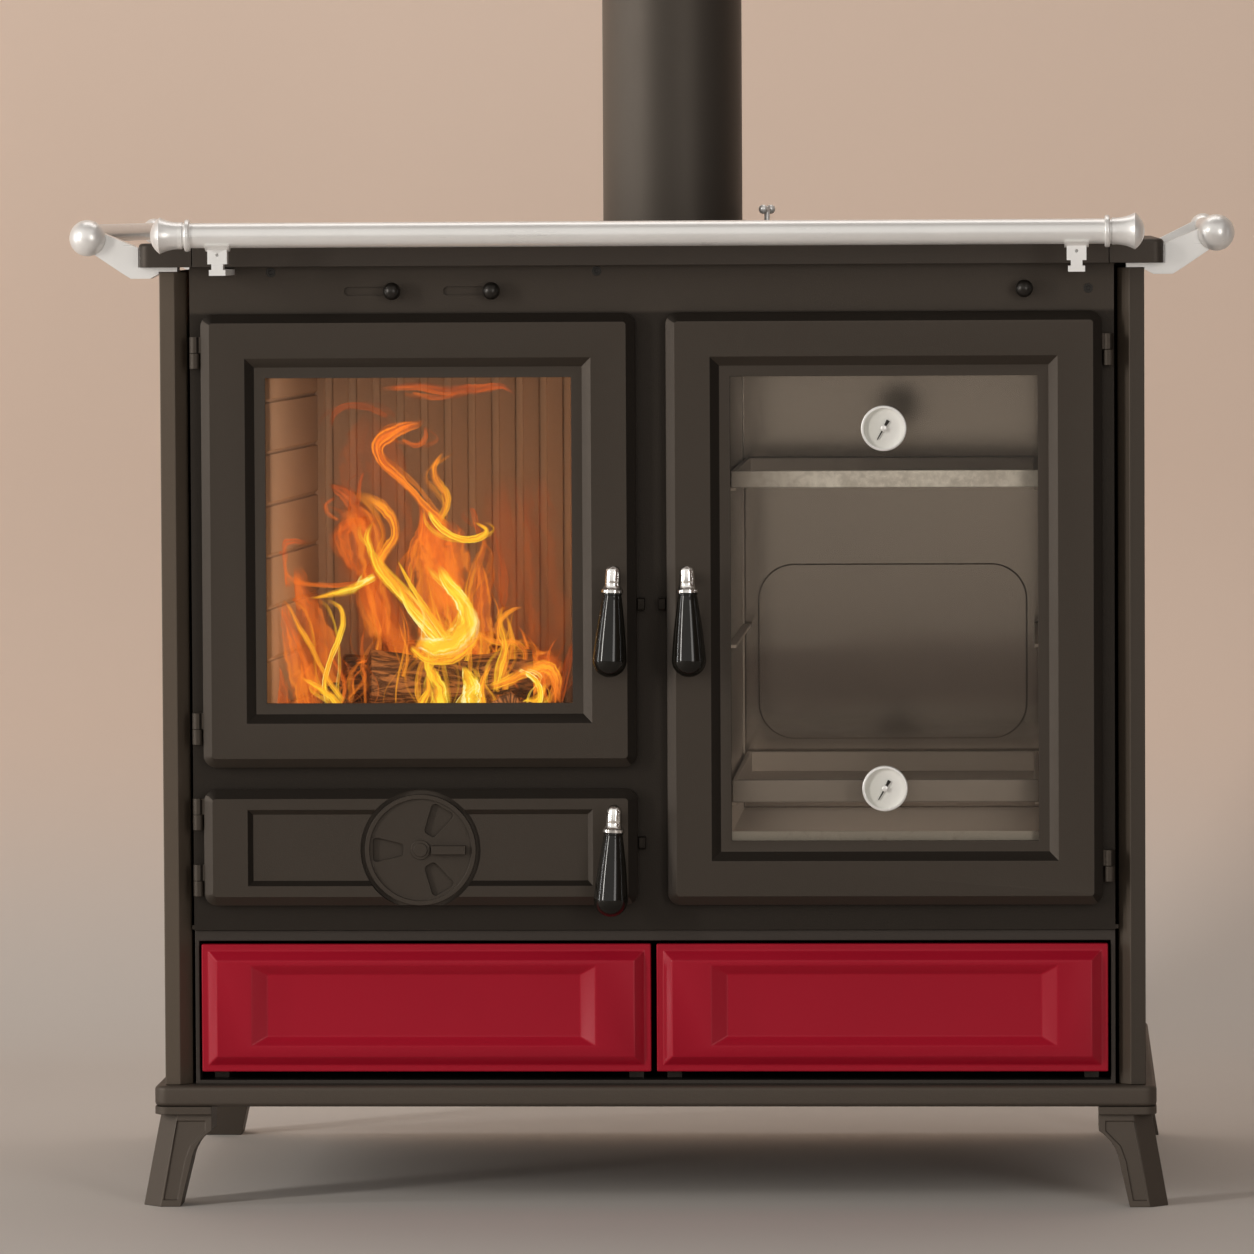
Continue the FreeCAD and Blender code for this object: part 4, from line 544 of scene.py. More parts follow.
def softened(node, width, angle):
    # the CAD shape with its edges rounded; the angle parts a real edge from a facet of a round face
    mesh = nodes[node].data.copy()
    mesh.transform(nodes[node].matrix_world)
    work = bmesh.new()
    work.from_mesh(mesh)
    bmesh.ops.remove_doubles(work, verts=work.verts, dist=edges["join"])
    bmesh.ops.dissolve_limit(work, angle_limit=math.radians(edges["flat"]), verts=work.verts,
                             edges=work.edges)
    work.to_mesh(mesh)
    work.free()
    mesh.materials.clear()
    mesh.materials.append(paintOf(node))
    if node in partPaint:
        chosen, paint = partPaint[node]
        mesh.materials.append(paint)
        for polygon in mesh.polygons:
            if chosen(polygon):
                polygon.material_index = 1
    smoothMesh(mesh, angle)
    piece = newPiece(camel(node), mesh, None, bodyOf[node])
    bevel = piece.modifiers.new("edges", "BEVEL")
    bevel.width = width
    bevel.segments = edges["segments"]
    bevel.limit_method = "ANGLE"
    bevel.angle_limit = math.radians(angle)
    bevel.use_clamp_overlap = True
    bevel.harden_normals = node not in roundCut
    if node in roundCut:
        piece.modifiers.new("normals", "WEIGHTED_NORMAL").keep_sharp = True
    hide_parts(node)


def spun(name, profile, pivot, steps, material, body, tilt, axis):
    # a turned piece: (radius, height) pairs round the upright axis through the pivot, then tilted about it
    work = bmesh.new()
    rings = []
    for radius, height in profile:
        if radius < 1e-6:
            rings.append([work.verts.new((pivot.x, pivot.y, height))])
            continue
        ring = []
        for step in range(steps):
            turn = math.tau * step / steps
            x, y = pivot.x + radius * math.cos(turn), pivot.y + radius * math.sin(turn)
            ring.append(work.verts.new((x, y, height)))
        rings.append(ring)
    for low, high in zip(rings, rings[1:]):
        bridge(work, low, high, steps)
    mesh = meshOf(work, name, edges["turned"])
    mesh.transform(Matrix.Translation(pivot) @ Matrix.Rotation(tilt, 4, axis) @ Matrix.Translation(-pivot))
    return newPiece(name, mesh, material, body)


print("camera")
# the photograph's viewpoint: place, the way it looks, and its roll, in metres and degrees
view = {
    "place": (0.33355, -7.59622, 0.88387), "yaw": -2.7693, "pitch": -2.9025, "roll": -0.3006,
    "lens": 240.36, "sensor": 36, "size": 1254,
}


def cameraAxes():
    yaw, pitch, roll = (math.radians(view[key]) for key in ("yaw", "pitch", "roll"))
    ahead = Vector((math.sin(yaw) * math.cos(pitch), math.cos(yaw) * math.cos(pitch), math.sin(pitch)))
    level = Vector((math.cos(yaw), -math.sin(yaw), 0))
    above = level.cross(ahead)
    right = level * math.cos(roll) + above * math.sin(roll)
    return right, right.cross(ahead), ahead


def makeCamera():
    right, up, ahead = cameraAxes()
    data = bpy.data.cameras.new("photoCamera")
    data.lens = view["lens"]
    data.sensor_width = view["sensor"]
    data.clip_end = 60
    scene.camera = placed("photoCamera", data)
    turn = Matrix((right, up, -ahead)).transposed().to_4x4()
    scene.camera.matrix_world = Matrix.Translation(view["place"]) @ turn


def onPlane(px, py, depth):
    # the point at that depth that the photograph shows at this pixel
    right, up, ahead = cameraAxes()
    focal = view["lens"] / view["sensor"] * view["size"]
    half = view["size"] / 2
    ray = ahead + right * ((px - half) / focal) - up * ((py - half) / focal)
    start = Vector(view["place"])
    return start + ray * ((depth - start.y) / ray.y)


makeCamera()

print("castings and sheet")
# how wide the edges are rounded, in metres
edgeWidths = {
    0.0003: "front_screws left_drawer_box right_drawer_box ash_pan",
    0.0004: "fire_door_clips oven_door_clips drawer_runners oven_runners damper_flap damper_handle "
            "left_air_slider right_air_slider oven_damper_rod front_rail gauge_cases",
    0.0005: "back_panel body_deck hinge_lugs flue_collar flue_pipe fire_handle_spindle ash_handle_spindle "
            "oven_handle_spindle",
    0.0006: "base_plinth latch_keepers firebox_shell top_end_castings hob_plate hob_ring hob_lid "
            "front_rail_fittings",
    0.0008: "front_frame air_disc drawer_frame oven_box front_rail_brackets",
    0.0009: "left_side_panel right_side_panel",
    0.001: "ash_door_panel fire_grate oven_shelf oven_tray",
    0.0011: "fire_door_frame oven_door_frame",
    0.0012: "feet left_drawer_front right_drawer_front firebricks",
    0.0022: "side_rails",
}
# angle in degrees that parts an edge from a facet, on pieces with coarse round faces and on the rest
coarse = ("flue_collar", "gauge_cases", "side_rails", "oven_damper_rod", "left_air_slider",
          "right_air_slider")
coarseAngle, fineAngle = 38, 17
for width, names in edgeWidths.items():
    for node in names.split():
        softened(node, width, coarseAngle if node in coarse else fineAngle)

# the fire outshines most of what its own glass reflects
localPaint["fire_door_glass"] = clearGlass("fireGlass", (0.97, 0.945, 0.91), (0.3, 0.24, 0.2), 0.4)
plain = ("fire_door_glass", "oven_door_glass", "gauge_dials", "lower_gauge_pointer", "upper_gauge_pointer")
for node in plain:
    nodes[node].data.materials.clear()
    nodes[node].data.materials.append(paintOf(node))


print("gauge bosses")
bossProfile = [(0, 0), (0.0021, 0), (0.0027, 0.0003), (0.0027, 0.0006), (0.0021, 0.001), (0, 0.0012)]
bossSteps = 32
for side in ("lower", "upper"):
    node = side + "_gauge_pointer"
    pivot = pivotOf(side + "_pointer_turn")
    pivot.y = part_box(node)[0].y
    # laid on its back against the pointer
    boss = spun(camel(node) + "Boss", [(radius, pivot.z + height) for radius, height in bossProfile], pivot,
                bossSteps, materials["gauge_steel"], bodyOf[node], math.pi / 2, "X")


print("grips")
grip = {
    "steps": 96, "ferrule": 0.0242, "neck": 0.0088, "length": 0.0745, "widest": 0.0152,
    # the rings under the ferrule: share of the length, share of the neck's radius
    "rings": ((0.004, 0.95), (0.014, 1), (0.024, 1), (0.032, 0.93), (0.045, 0.93), (0.06, 0.985)),
    "topShare": 0.86, "taperStart": 0.08, "swell": 0.09, "rows": 24,
}
# each handle's top and its tilt in degrees
handles = {"fire": (0.567, 2.5), "ash": (0.3565, 2.5), "oven": (0.567, -1)}


def gripProfile(top):
    # from the neck under the ferrule down to the round end
    neck, widest, length, rows = (grip[key] for key in ("neck", "widest", "length", "rows"))
    low = top - length
    centre = low + widest
    shape = [(0, top), (neck * grip["topShare"], top)]
    shape += [(neck * radius, top - length * share) for share, radius in grip["rings"]]
    start = grip["taperStart"]
    run = (top - centre) / length
    for step in range(1, rows + 1):
        share = step / rows
        swell = share + grip["swell"] * math.sin(math.pi * share)
        height = top - length * (start + (run - start) * share)
        shape.append((neck + (widest - neck) * min(swell, 1), height))
    for step in range(1, rows + 1):
        angle = math.pi / 2 * step / rows
        shape.append((widest * math.cos(angle) if step < rows else 0, centre - widest * math.sin(angle)))
    return shape


for name, (top, tilt) in handles.items():
    node = name + "_handle_grip"
    profile = gripProfile(top - grip["ferrule"])
    piece = spun(camel(node), profile, pivotOf(name + "_handle_turn"), grip["steps"],
                 materials["grip_black"], bodyOf[node], math.radians(tilt), "Y")
    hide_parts(node)


print("door ropes")
twine = {
    "strands": 3, "strandRadius": 0.00155, "twistRadius": 0.00145, "pitch": 0.013,
    "corner": 0.008, "cornerSteps": 6,
    # across the whole rope, rows to each turn and sides of a strand
    "section": 0.007, "rows": 10, "sides": 6,
}


def ropeTree():
    # strands twisted along a round-cornered loop, with named inputs for its sizes
    tree = bpy.data.node_groups.new("twistedLoop", "GeometryNodeTree")
    kinds = dict.fromkeys(("Width", "Height", "Corner", "Turns", "Twist radius", "Strand radius"), "Float")
    for name, kind in {"Geometry": "Geometry", **kinds, "Place": "Vector", "Material": "Material"}.items():
        side = "OUTPUT" if kind == "Geometry" else "INPUT"
        tree.interface.new_socket(name, in_out=side, socket_type="NodeSocket" + kind)

    def add(kind, values, family="GeometryNode", **settings):
        # links or sets the inputs; a list links several sockets to one input
        made = tree.nodes.new(family + kind)
        for key, value in settings.items():
            setattr(made, key, value)
        for key, value in values.items():
            if isinstance(value, (bpy.types.NodeSocket, list)):
                for socket in value if isinstance(value, list) else [value]:
                    tree.links.new(socket, made.inputs[key])
            else:
                made.inputs[key].default_value = value
        return made.outputs[0] if made.outputs else None

    def calc(operation, first, second=0):
        return add("Math", {0: first, 1: second}, "ShaderNode", operation=operation)

    def vector(operation, values):
        return add("VectorMath", values, "ShaderNode", operation=operation)

    given = tree.nodes.new("NodeGroupInput").outputs
    upright = (0, 0, 1)
    outline = add("CurvePrimitiveQuadrilateral", {"Width": given["Width"], "Height": given["Height"]})
    cornered = add("FilletCurve", {"Curve": outline, "Radius": given["Corner"],
                                   "Count": twine["cornerSteps"]}, mode="POLY")
    samples = calc("MULTIPLY", given["Turns"], twine["rows"])
    path = add("ResampleCurve", {"Curve": cornered, "Count": samples})
    factor = add("SplineParameter", {})
    across = vector("CROSS_PRODUCT", {0: add("InputTangent", {}), 1: upright})
    profile = add("CurvePrimitiveCircle", {"Resolution": twine["sides"], "Radius": given["Strand radius"]})
    tubes = []
    for strand in range(twine["strands"]):
        turned = calc("ADD", calc("MULTIPLY", factor, given["Turns"]), strand / twine["strands"])
        turn = calc("MULTIPLY", turned, math.tau)
        aside = vector("SCALE", {0: across, "Scale": calc("COSINE", turn)})
        above = vector("SCALE", {0: upright, "Scale": calc("SINE", turn)})
        offset = vector("SCALE", {0: vector("ADD", {0: aside, 1: above}), "Scale": given["Twist radius"]})
        moved = add("SetPosition", {"Geometry": path, "Offset": offset})
        tubes.append(add("CurveToMesh", {"Curve": moved, "Profile Curve": profile}))
    joined = add("JoinGeometry", {"Geometry": tubes})
    stood = add("Transform", {"Geometry": joined, "Translation": given["Place"],
                              "Rotation": (math.pi / 2, 0, 0)})
    real = add("RealizeInstances", {"Geometry": stood})
    painted = add("SetMaterial", {"Geometry": real, "Material": given["Material"]})
    add("GroupOutput", {"Geometry": add("SetShadeSmooth", {"Geometry": painted})}, "Node")
    return tree


def ropeLoop(node, tree):
    low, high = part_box(node)
    inputs = {
        "Width": high.x - low.x - twine["section"],
        "Height": high.z - low.z - twine["section"],
        "Corner": twine["corner"],
        "Turns": round(((high.x - low.x) + (high.z - low.z)) * 2 / twine["pitch"]),
        "Twist radius": twine["twistRadius"],
        "Strand radius": twine["strandRadius"],
        "Place": ((low + high) / 2)[:],
        "Material": materials["rope"],
    }
    holder = placed("ropeHolder", bpy.data.meshes.new("ropeHolder"))
    modifier = holder.modifiers.new("loop", "NODES")
    modifier.node_group = tree
    for item in tree.interface.items_tree:
        if item.item_type == "SOCKET" and item.in_out == "INPUT":
            modifier[item.identifier] = inputs[item.name]
    mesh = bpy.data.meshes.new_from_object(holder.evaluated_get(bpy.context.evaluated_depsgraph_get()))
    holder.modifiers.remove(modifier)
    bpy.data.objects.remove(holder)
    piece = newPiece(camel(node), mesh, None, bodyOf[node])
    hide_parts(node)


twisted = ropeTree()
for node in ("fire_door_seal", "ash_door_seal", "oven_door_seal"):
    ropeLoop(node, twisted)


print("logs and embers")
logSizes = {
    "around": 40, "along": 36, "rough": 0.004, "fineShare": 0.5, "seed": 7,
    "splits": 3, "splitDepth": 0.14, "drift": 0.006, "uvShift": 0.31, "sharp": 50,
    # shares of the radius where an end has its rings, how far it domes and how its rings stand out
    "ends": (0, 0.35, 0.7, 0.9, 1), "dome": 0.002, "ring": 0.0015,
}
# ends of each log and its radius, in metres
logPlaces = [
    ((-0.262, -0.092, 0.443), (-0.118, -0.074, 0.438), 0.04),
    ((-0.292, 0.01, 0.437), (-0.112, 0.034, 0.438), 0.036),
    ((-0.128, -0.168, 0.424), (-0.146, -0.06, 0.428), 0.024),
    ((-0.3, -0.15, 0.424), (-0.29, -0.05, 0.428), 0.022),
    ((-0.25, -0.02, 0.462), (-0.16, 0.06, 0.47), 0.022),
]


def logMesh(start, end, radius, seed):
    start, end = Vector(start), Vector(end)
    along = (end - start).normalized()
    side = along.cross(Vector((0, 0, 1))).normalized()
    over = side.cross(along)
    shift = Vector((seed * 3.7, seed * 1.9, 0))
    work = bmesh.new()
    uvLayer = work.loops.layers.uv.new("log")
    rings = []
    rows, columns = logSizes["along"], logSizes["around"]
    ends = logSizes["ends"]
    stations = [(0, share) for share in ends]
    stations += [(row / rows, 1) for row in range(1, rows)]
    stations += [(1, share) for share in reversed(ends)]
    for place, share in stations:
        if share == 0:
            rings.append([work.verts.new(start.lerp(end, place))])
            continue
        ring = []
        dome = (1 - share) * logSizes["dome"] * (-1 if place == 0 else 1)
        wave = logSizes["ring"] * math.sin(share * 26) if share < 1 else 0
        drift = noise.noise(shift + Vector((0, 0, place * 2))) * logSizes["drift"]
        centre = start.lerp(end, place) + along * (dome + wave) + over * drift
        for column in range(columns):
            turn = math.tau * column / columns
            x, y = math.cos(turn), math.sin(turn)
            split = 1 - logSizes["splitDepth"] * max(0, math.cos(turn * logSizes["splits"] + seed)) ** 3
            ridge = noise.noise(Vector((x * 4, y * 4, place * 1.5)) + shift)
            fine = noise.noise(Vector((x * 13, y * 13, place * 9)) + shift)
            size = (radius * split + logSizes["rough"] * (ridge + fine * logSizes["fineShare"])) * share
            ring.append(work.verts.new(centre + (side * x + over * y) * size))
        rings.append(ring)
    for row, (low, high) in enumerate(zip(rings, rings[1:])):
        for face, spots in bridge(work, low, high, columns):
            for loop, (across, up) in zip(face.loops, spots):
                loop[uvLayer].uv = (across / columns, seed * logSizes["uvShift"] + (row + up) / len(rings))
    return meshOf(work, "logMesh", logSizes["sharp"])


charred = charredWood("charredWood")
for count, (start, end, radius) in enumerate(logPlaces):
    mesh = logMesh(start, end, radius, logSizes["seed"] + count)
    newPiece("log%d" % (count + 1), mesh, charred, "stove")


embers = {
    "columns": 70, "rows": 80, "height": 0.022, "margin": 0.004, "thinnest": 0.0004, "sharp": 60,
    # rows over which the heap falls off to its edge, and how much sooner it does so lengthways
    "edge": 9, "steeper": 1.4,
    # scale and height of the separate pieces, then of the softer swell
    "lump": (85, 0.35), "swell": (60, 0.35), "base": 0.45,
}


def emberMesh():
    # a heap of glowing pieces on the grate, closed underneath
    work = bmesh.new()
    low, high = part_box("fire_grate")
    margin, columns, rows = embers["margin"], embers["columns"], embers["rows"]
    x0, x1, y0, y1 = low.x + margin, high.x - margin, low.y + margin, high.y - margin
    (lumpScale, lumpShare), (swellScale, swellShare) = embers["lump"], embers["swell"]
    grid = []
    for row in range(rows + 1):
        line = []
        for column in range(columns + 1):
            x = x0 + (x1 - x0) * column / columns
            y = y0 + (y1 - y0) * row / rows
            steeper = embers["steeper"]
            edge = min(column, columns - column, row * steeper, (rows - row) * steeper) / embers["edge"]
            lump = noise.cell(Vector((x * lumpScale, y * lumpScale, 0)))
            soft = noise.noise(Vector((x * swellScale, y * swellScale, 3)))
            heap = embers["base"] + lumpShare * lump + swellShare * soft
            rise = embers["height"] * min(1, edge) * heap
            line.append(work.verts.new((x, y, high.z + max(rise, embers["thinnest"]))))
        grid.append(line)
    gridFaces(work, grid)
    left, right = [line[0] for line in grid], [line[-1] for line in grid]
    rim = grid[0][:-1] + right[:-1] + grid[-1][:0:-1] + left[:0:-1]
    foot = [work.verts.new((vert.co.x, vert.co.y, high.z)) for vert in rim]
    for corners in zip(rim, rim[1:] + rim[:1], foot[1:] + foot[:1], foot):
        work.faces.new(corners)
    work.faces.new(foot)
    return meshOf(work, "emberBed", embers["sharp"])


newPiece("emberBed", emberMesh(), emberBed("emberBed"), "stove")


print("flames")
# each tongue: depth, heat, density, then its spine from the root, three numbers to a point: where it
# stands across and down the photograph's view, and half its width there
tongues = [
    (-0.06, 0.42, 1, [450, 528, 3.6, 436, 517, 5.7, 421, 503, 5, 407, 487, 5, 393, 474, 5.4, 381, 460, 6.4,
     378, 446, 8.6, 388, 436, 9.3, 404, 428, 7.1, 418, 424, 4.6, 426, 419, 1.8]),
    (-0.055, 0.25, 0.56, [400, 440, 2.1, 416, 445, 3.6, 426, 438, 3.2, 424, 426, 1.8]),
    (-0.075, 0.85, 0.95, [429, 510, 2.5, 436, 521, 4.3, 447, 531, 4.3, 460, 538, 3.9, 472, 539, 4.3, 482,
     536, 4.6, 485, 530, 3.2, 479, 525, 2.1, 471, 522, 1.1]),
    (-0.06, 0.12, 0.5, [482, 539, 2.9, 474, 517, 4.6, 471, 507, 1.4]),
    (-0.05, 0.3, 0.68, [450, 610, 23.6, 449, 581, 27.9, 447, 560, 31.4, 445, 544, 30, 441, 531, 21.4, 436,
     521, 8.6]),
    (-0.055, 0.48, 0.6, [469, 617, 5, 471, 589, 5.4, 478, 564, 6.1, 484, 548, 4.6, 484, 534, 1.8]),
    (-0.05, 0.35, 0.74, [412, 589, 4.3, 411, 567, 6.4, 416, 546, 7.9, 422, 524, 5.7, 419, 501, 2.1]),
    (-0.065, 0.62, 0.8, [439, 521, 3.6, 446, 507, 5, 445, 493, 5.7, 436, 481, 5.7, 433, 469, 4.6, 438, 460,
     3.2, 445, 451, 1.1]),
    (-0.142, 0.62, 1, [454, 649, 8.6, 433, 625, 8.6, 415, 607, 7.9, 400, 590, 7.1, 388, 575, 6.4, 381, 561,
     6.4, 388, 548, 7.1, 396, 535, 5.7, 393, 519, 6.4, 383, 506, 7.1, 370, 498, 5.4, 356, 492, 2.1]),
    (-0.15, 0.92, 0.9, [446, 646, 5, 422, 618, 4.3, 404, 599, 3.9, 389, 583, 3.9, 377, 567, 4.3, 370, 549,
     4.6, 367, 535, 3.9, 373, 521, 1.4]),
    (-0.07, 0.14, 0.51, [371, 539, 5, 359, 512, 9.3, 347, 498, 8.6, 336, 490, 5.7, 329, 484, 1.4]),
    (-0.065, 0.18, 0.54, [354, 571, 5.7, 344, 549, 9.3, 341, 535, 10, 350, 524, 7.9, 368, 519, 2.9]),
    (-0.06, 0.1, 0.5, [356, 506, 3.6, 360, 487, 3.2, 364, 471, 1.1]),
    (-0.072, 0.22, 0.5, [339, 521, 2.1, 329, 512, 3.2, 326, 504, 2.9, 336, 497, 1.4]),
    (-0.1, 0.95, 0.92, [377, 575, 4.6, 364, 582, 5, 350, 589, 4.6, 336, 593, 3.9, 324, 596, 2.9, 311, 598,
     0.7]),
    (-0.105, 0.35, 0.56, [283, 555, 3.6, 285, 573, 3.9, 299, 583, 2.9, 321, 585, 2.9, 344, 584, 2.9, 365,
     579, 1.4]),
    (-0.1, 0.12, 0.57, [284, 589, 6.4, 282, 564, 7.9, 287, 543, 5.4, 306, 543, 1.8]),
    (-0.17, 0.9, 0.9, [329, 703, 4.6, 326, 683, 3.6, 329, 667, 3.2, 334, 651, 3.6, 340, 635, 3.9, 342, 619,
     3.6, 338, 607, 3.2, 324, 599, 1.4]),
    (-0.15, 0.32, 0.68, [311, 728, 14.3, 306, 692, 17.1, 298, 664, 16.4, 290, 637, 12.1, 286, 615, 7.1, 285,
     599, 1.4]),
    (-0.202, 0.72, 0.72, [344, 703, 3.6, 331, 686, 3.6, 321, 669, 3.2, 311, 646, 3.2, 300, 625, 3.2, 291,
     607, 2.1, 283, 599, 0.7]),
    (-0.198, 0.8, 0.94, [346, 717, 7.1, 333, 696, 5, 316, 686, 3.9, 300, 678, 1.4]),
    (-0.145, 0.2, 0.54, [289, 728, 14.3, 282, 703, 10.7, 279, 681, 7.1, 276, 664, 2.1]),
    (-0.154, 1, 1, [421, 642, 8.6, 436, 648, 12.1, 454, 642, 15, 466, 625, 12.9, 464, 606, 9.6, 454, 589,
     9.6, 445, 575, 7.1, 439, 564, 1.8]),
    (-0.158, 1, 0.95, [439, 646, 6.4, 423, 626, 4.6, 409, 607, 3.2, 399, 586, 1.4]),
    (-0.156, 0.88, 0.85, [449, 642, 4.3, 429, 611, 3.2, 409, 582, 2.5, 396, 560, 0.7]),
    (-0.166, 0.75, 0.88, [411, 646, 2.9, 429, 659, 5.7, 449, 659, 7.1, 466, 650, 5.7, 483, 631, 2.1]),
    (-0.146, 0.62, 0.75, [500, 681, 3.6, 506, 655, 3.9, 497, 636, 3.6, 500, 621, 3.6, 512, 610, 2.9, 525,
     606, 0.7]),
    (-0.088, 0.55, 0.7, [475, 633, 2.1, 496, 642, 3.6, 515, 642, 3.6, 526, 651, 3.6, 523, 664, 2.9, 508,
     662, 1.1]),
    (-0.154, 0.8, 0.75, [496, 692, 4.3, 500, 667, 5, 505, 646, 4.3, 500, 625, 2.9, 502, 606, 1.1]),
    (-0.158, 0.62, 1, [489, 687, 4.3, 512, 679, 7.1, 529, 671, 7.1, 545, 667, 7.9, 555, 677, 7.1, 556, 691,
     6.4, 549, 706, 5]),
    (-0.166, 0.97, 0.95, [518, 670, 2.1, 534, 680, 3.9, 541, 692, 3.9, 539, 712, 2.9]),
    (-0.06, 0.05, 0.38, [558, 703, 5.7, 564, 678, 6.4, 570, 656, 5, 573, 642, 1.4]),
    (-0.166, 1, 1, [471, 731, 12.1, 472, 703, 12.9, 471, 687, 10.7, 466, 675, 6.4, 463, 666, 1.8]),
    (-0.162, 0.88, 1, [436, 731, 12.1, 438, 703, 10.7, 436, 683, 8.6, 429, 666, 5.7, 430, 648, 2.1]),
    (-0.174, 0.78, 1, [418, 728, 9.3, 421, 706, 6.4, 429, 689, 3.6, 427, 674, 1.4]),
    (-0.158, 0.72, 1, [486, 731, 9.3, 483, 706, 6.4, 482, 683, 4.3, 490, 664, 1.8]),
    (-0.17, 0.85, 1, [521, 731, 12.1, 525, 710, 9.3, 538, 699, 5.7, 546, 683, 2.1]),
    (-0.045, 0.4, 0.74, [464, 681, 16.4, 479, 646, 18.6, 479, 610, 15.7, 482, 581, 9.3, 479, 560, 2.9]),
    (-0.03, 0.22, 0.57, [407, 681, 21.4, 400, 646, 25, 389, 610, 21.4, 375, 581, 12.9, 368, 560, 3.6]),
    (-0.02, 0.03, 0.33, [390, 417, 2.9, 369, 407, 4.3, 347, 406, 4.3, 334, 414, 3.6, 329, 430, 1.4]),
    (-0.02, 0.1, 0.53, [390, 389, 2.5, 417, 386, 5.4, 443, 391, 6.8, 472, 389, 6.1, 500, 386, 3.6, 517, 395,
     1.1]),
    (-0.015, 0.25, 0.47, [411, 393, 2.1, 436, 398, 3.6, 461, 393, 1.4]),
    (-0.02, 0.02, 0.28, [500, 617, 5, 504, 578, 6.4, 497, 542, 5, 493, 525, 1.4]),
    (-0.035, 0.33, 0.75, [452, 700, 30, 446, 650, 34, 440, 600, 30, 436, 560, 26, 432, 530, 18, 428, 505,
     8]),
    (-0.03, 0.3, 0.6, [330, 700, 22, 322, 660, 26, 310, 620, 24, 300, 590, 18, 296, 565, 8]),
    (-0.028, 0.36, 0.7, [380, 640, 12, 372, 600, 20, 366, 560, 24, 358, 525, 22, 348, 505, 10]),
    (-0.034, 0.42, 0.7, [470, 700, 26, 500, 676, 30, 540, 668, 26, 556, 655, 12]),
    (-0.012, 0.04, 0.16, [505, 700, 26, 512, 640, 34, 510, 580, 36, 505, 520, 30, 500, 470, 14]),
    (-0.012, 0.02, 0.13, [545, 700, 20, 548, 640, 26, 546, 570, 26, 540, 510, 20, 538, 470, 8]),
    (-0.01, 0.06, 0.16, [390, 690, 30, 380, 600, 44, 376, 520, 46, 372, 450, 36, 378, 410, 16]),
]


def splinePoint(spine, share):
    # a Catmull-Rom curve through the spine's points, with its half width
    spans = len(spine) - 1
    place = min(share * spans, spans - 1e-6)
    at = int(place)
    t = place - at
    before = spine[max(at - 1, 0)]
    first, second = spine[at], spine[at + 1]
    after = spine[min(at + 2, spans)]
    found = []
    for p0, p1, p2, p3 in zip(before, first, second, after):
        found.append(0.5 * (2 * p1 + (p2 - p0) * t + (2 * p0 - 5 * p1 + 4 * p2 - p3) * t ** 2
                            + (3 * p1 - p0 - 3 * p2 + p3) * t ** 3))
    return found


wisp = {
    "count": 34, "seed": 11, "left": 292, "right": 556, "hottest": 452, "spread": 80,
    "floor": 706, "reach": 165, "lean": 0.1, "bend": 4.6, "steps": 7,
}


def wisps():
    # thin strands between the traced tongues, tallest over the hottest place
    chance = random.Random(wisp["seed"])
    for _ in range(wisp["count"]):
        foot = chance.uniform(wisp["left"], wisp["right"])
        near = math.exp(-((foot - wisp["hottest"]) / wisp["spread"]) ** 2)
        reach = wisp["reach"] * (0.3 + 0.7 * near) * chance.uniform(0.45, 1)
        lean = (wisp["hottest"] - foot) * wisp["lean"] + chance.uniform(-16, 16)
        curl, phase = chance.uniform(6, 16), chance.uniform(0, math.tau)
        width = chance.uniform(1.4, 5)
        spine = []
        for step in range(wisp["steps"]):
            share = step / (wisp["steps"] - 1)
            swing = curl * share * math.sin(share * wisp["bend"] + phase)
            half = width * math.sin(math.pi * (0.16 + 0.82 * share))
            spine += (foot + lean * share + swing, wisp["floor"] - reach * share, half)
        heat = 0.3 + 0.45 * near + chance.uniform(-0.1, 0.12)
        yield chance.uniform(-0.15, -0.03), heat, chance.uniform(0.35, 0.7), spine


flame = {
    "rows": 48, "columns": 12, "bulge": 0.5, "scale": 0.00089, "thinnest": 0.3,
    "reach": 0.02, "sway": 0.012, "phase": 0.37,
    # how far each of a tongue's sheets is turned, and its share of the density
    "sheets": ((0, 1), (1.1, 0.4)),
}


def flameMesh():
    work = bmesh.new()
    uvLayer = work.loops.layers.uv.new("flame")
    kindLayer = work.verts.layers.float_vector.new("tongue")
    rows, columns = flame["rows"], flame["columns"]
    for count, (depth, heat, density, flat) in enumerate([*tongues, *wisps()]):
        spine = [flat[place:place + 3] for place in range(0, len(flat), 3)]
        for turn, share in flame["sheets"]:
            grid = []
            for row in range(rows + 1):
                along = row / rows
                px, py, half = splinePoint(spine, along)
                ahead = splinePoint(spine, min(along + flame["reach"], 1))
                back = splinePoint(spine, max(along - flame["reach"], 0))
                run = Vector((ahead[0] - back[0], ahead[1] - back[1])).normalized()
                centre = onPlane(px, py, depth)
                wide = max(half, flame["thinnest"]) * flame["scale"]
                sway = flame["sway"] * math.sin(along * 5 + count * 1.7)
                spin = Matrix.Rotation(turn * (1 if count % 2 else -1), 3, "Z")
                line = []
                for column in range(columns + 1):
                    side = column / columns * 2 - 1
                    out = side * wide
                    arch = (1 - side ** 2) * wide * flame["bulge"]
                    vert = work.verts.new(centre + spin @ Vector((-run.y * out, sway - arch, -run.x * out)))
                    vert[kindLayer] = (heat, density * share, count * flame["phase"])
                    line.append(vert)
                grid.append(line)
            for face, corners in gridFaces(work, grid):
                for loop, (row, column) in zip(face.loops, corners):
                    loop[uvLayer].uv = (column / columns, row / rows)
    mesh = bpy.data.meshes.new("flames")
    work.to_mesh(mesh)
    work.free()
    mesh.shade_smooth()
    return mesh


newPiece("flames", flameMesh(), flameSheet("flame"), "stove")


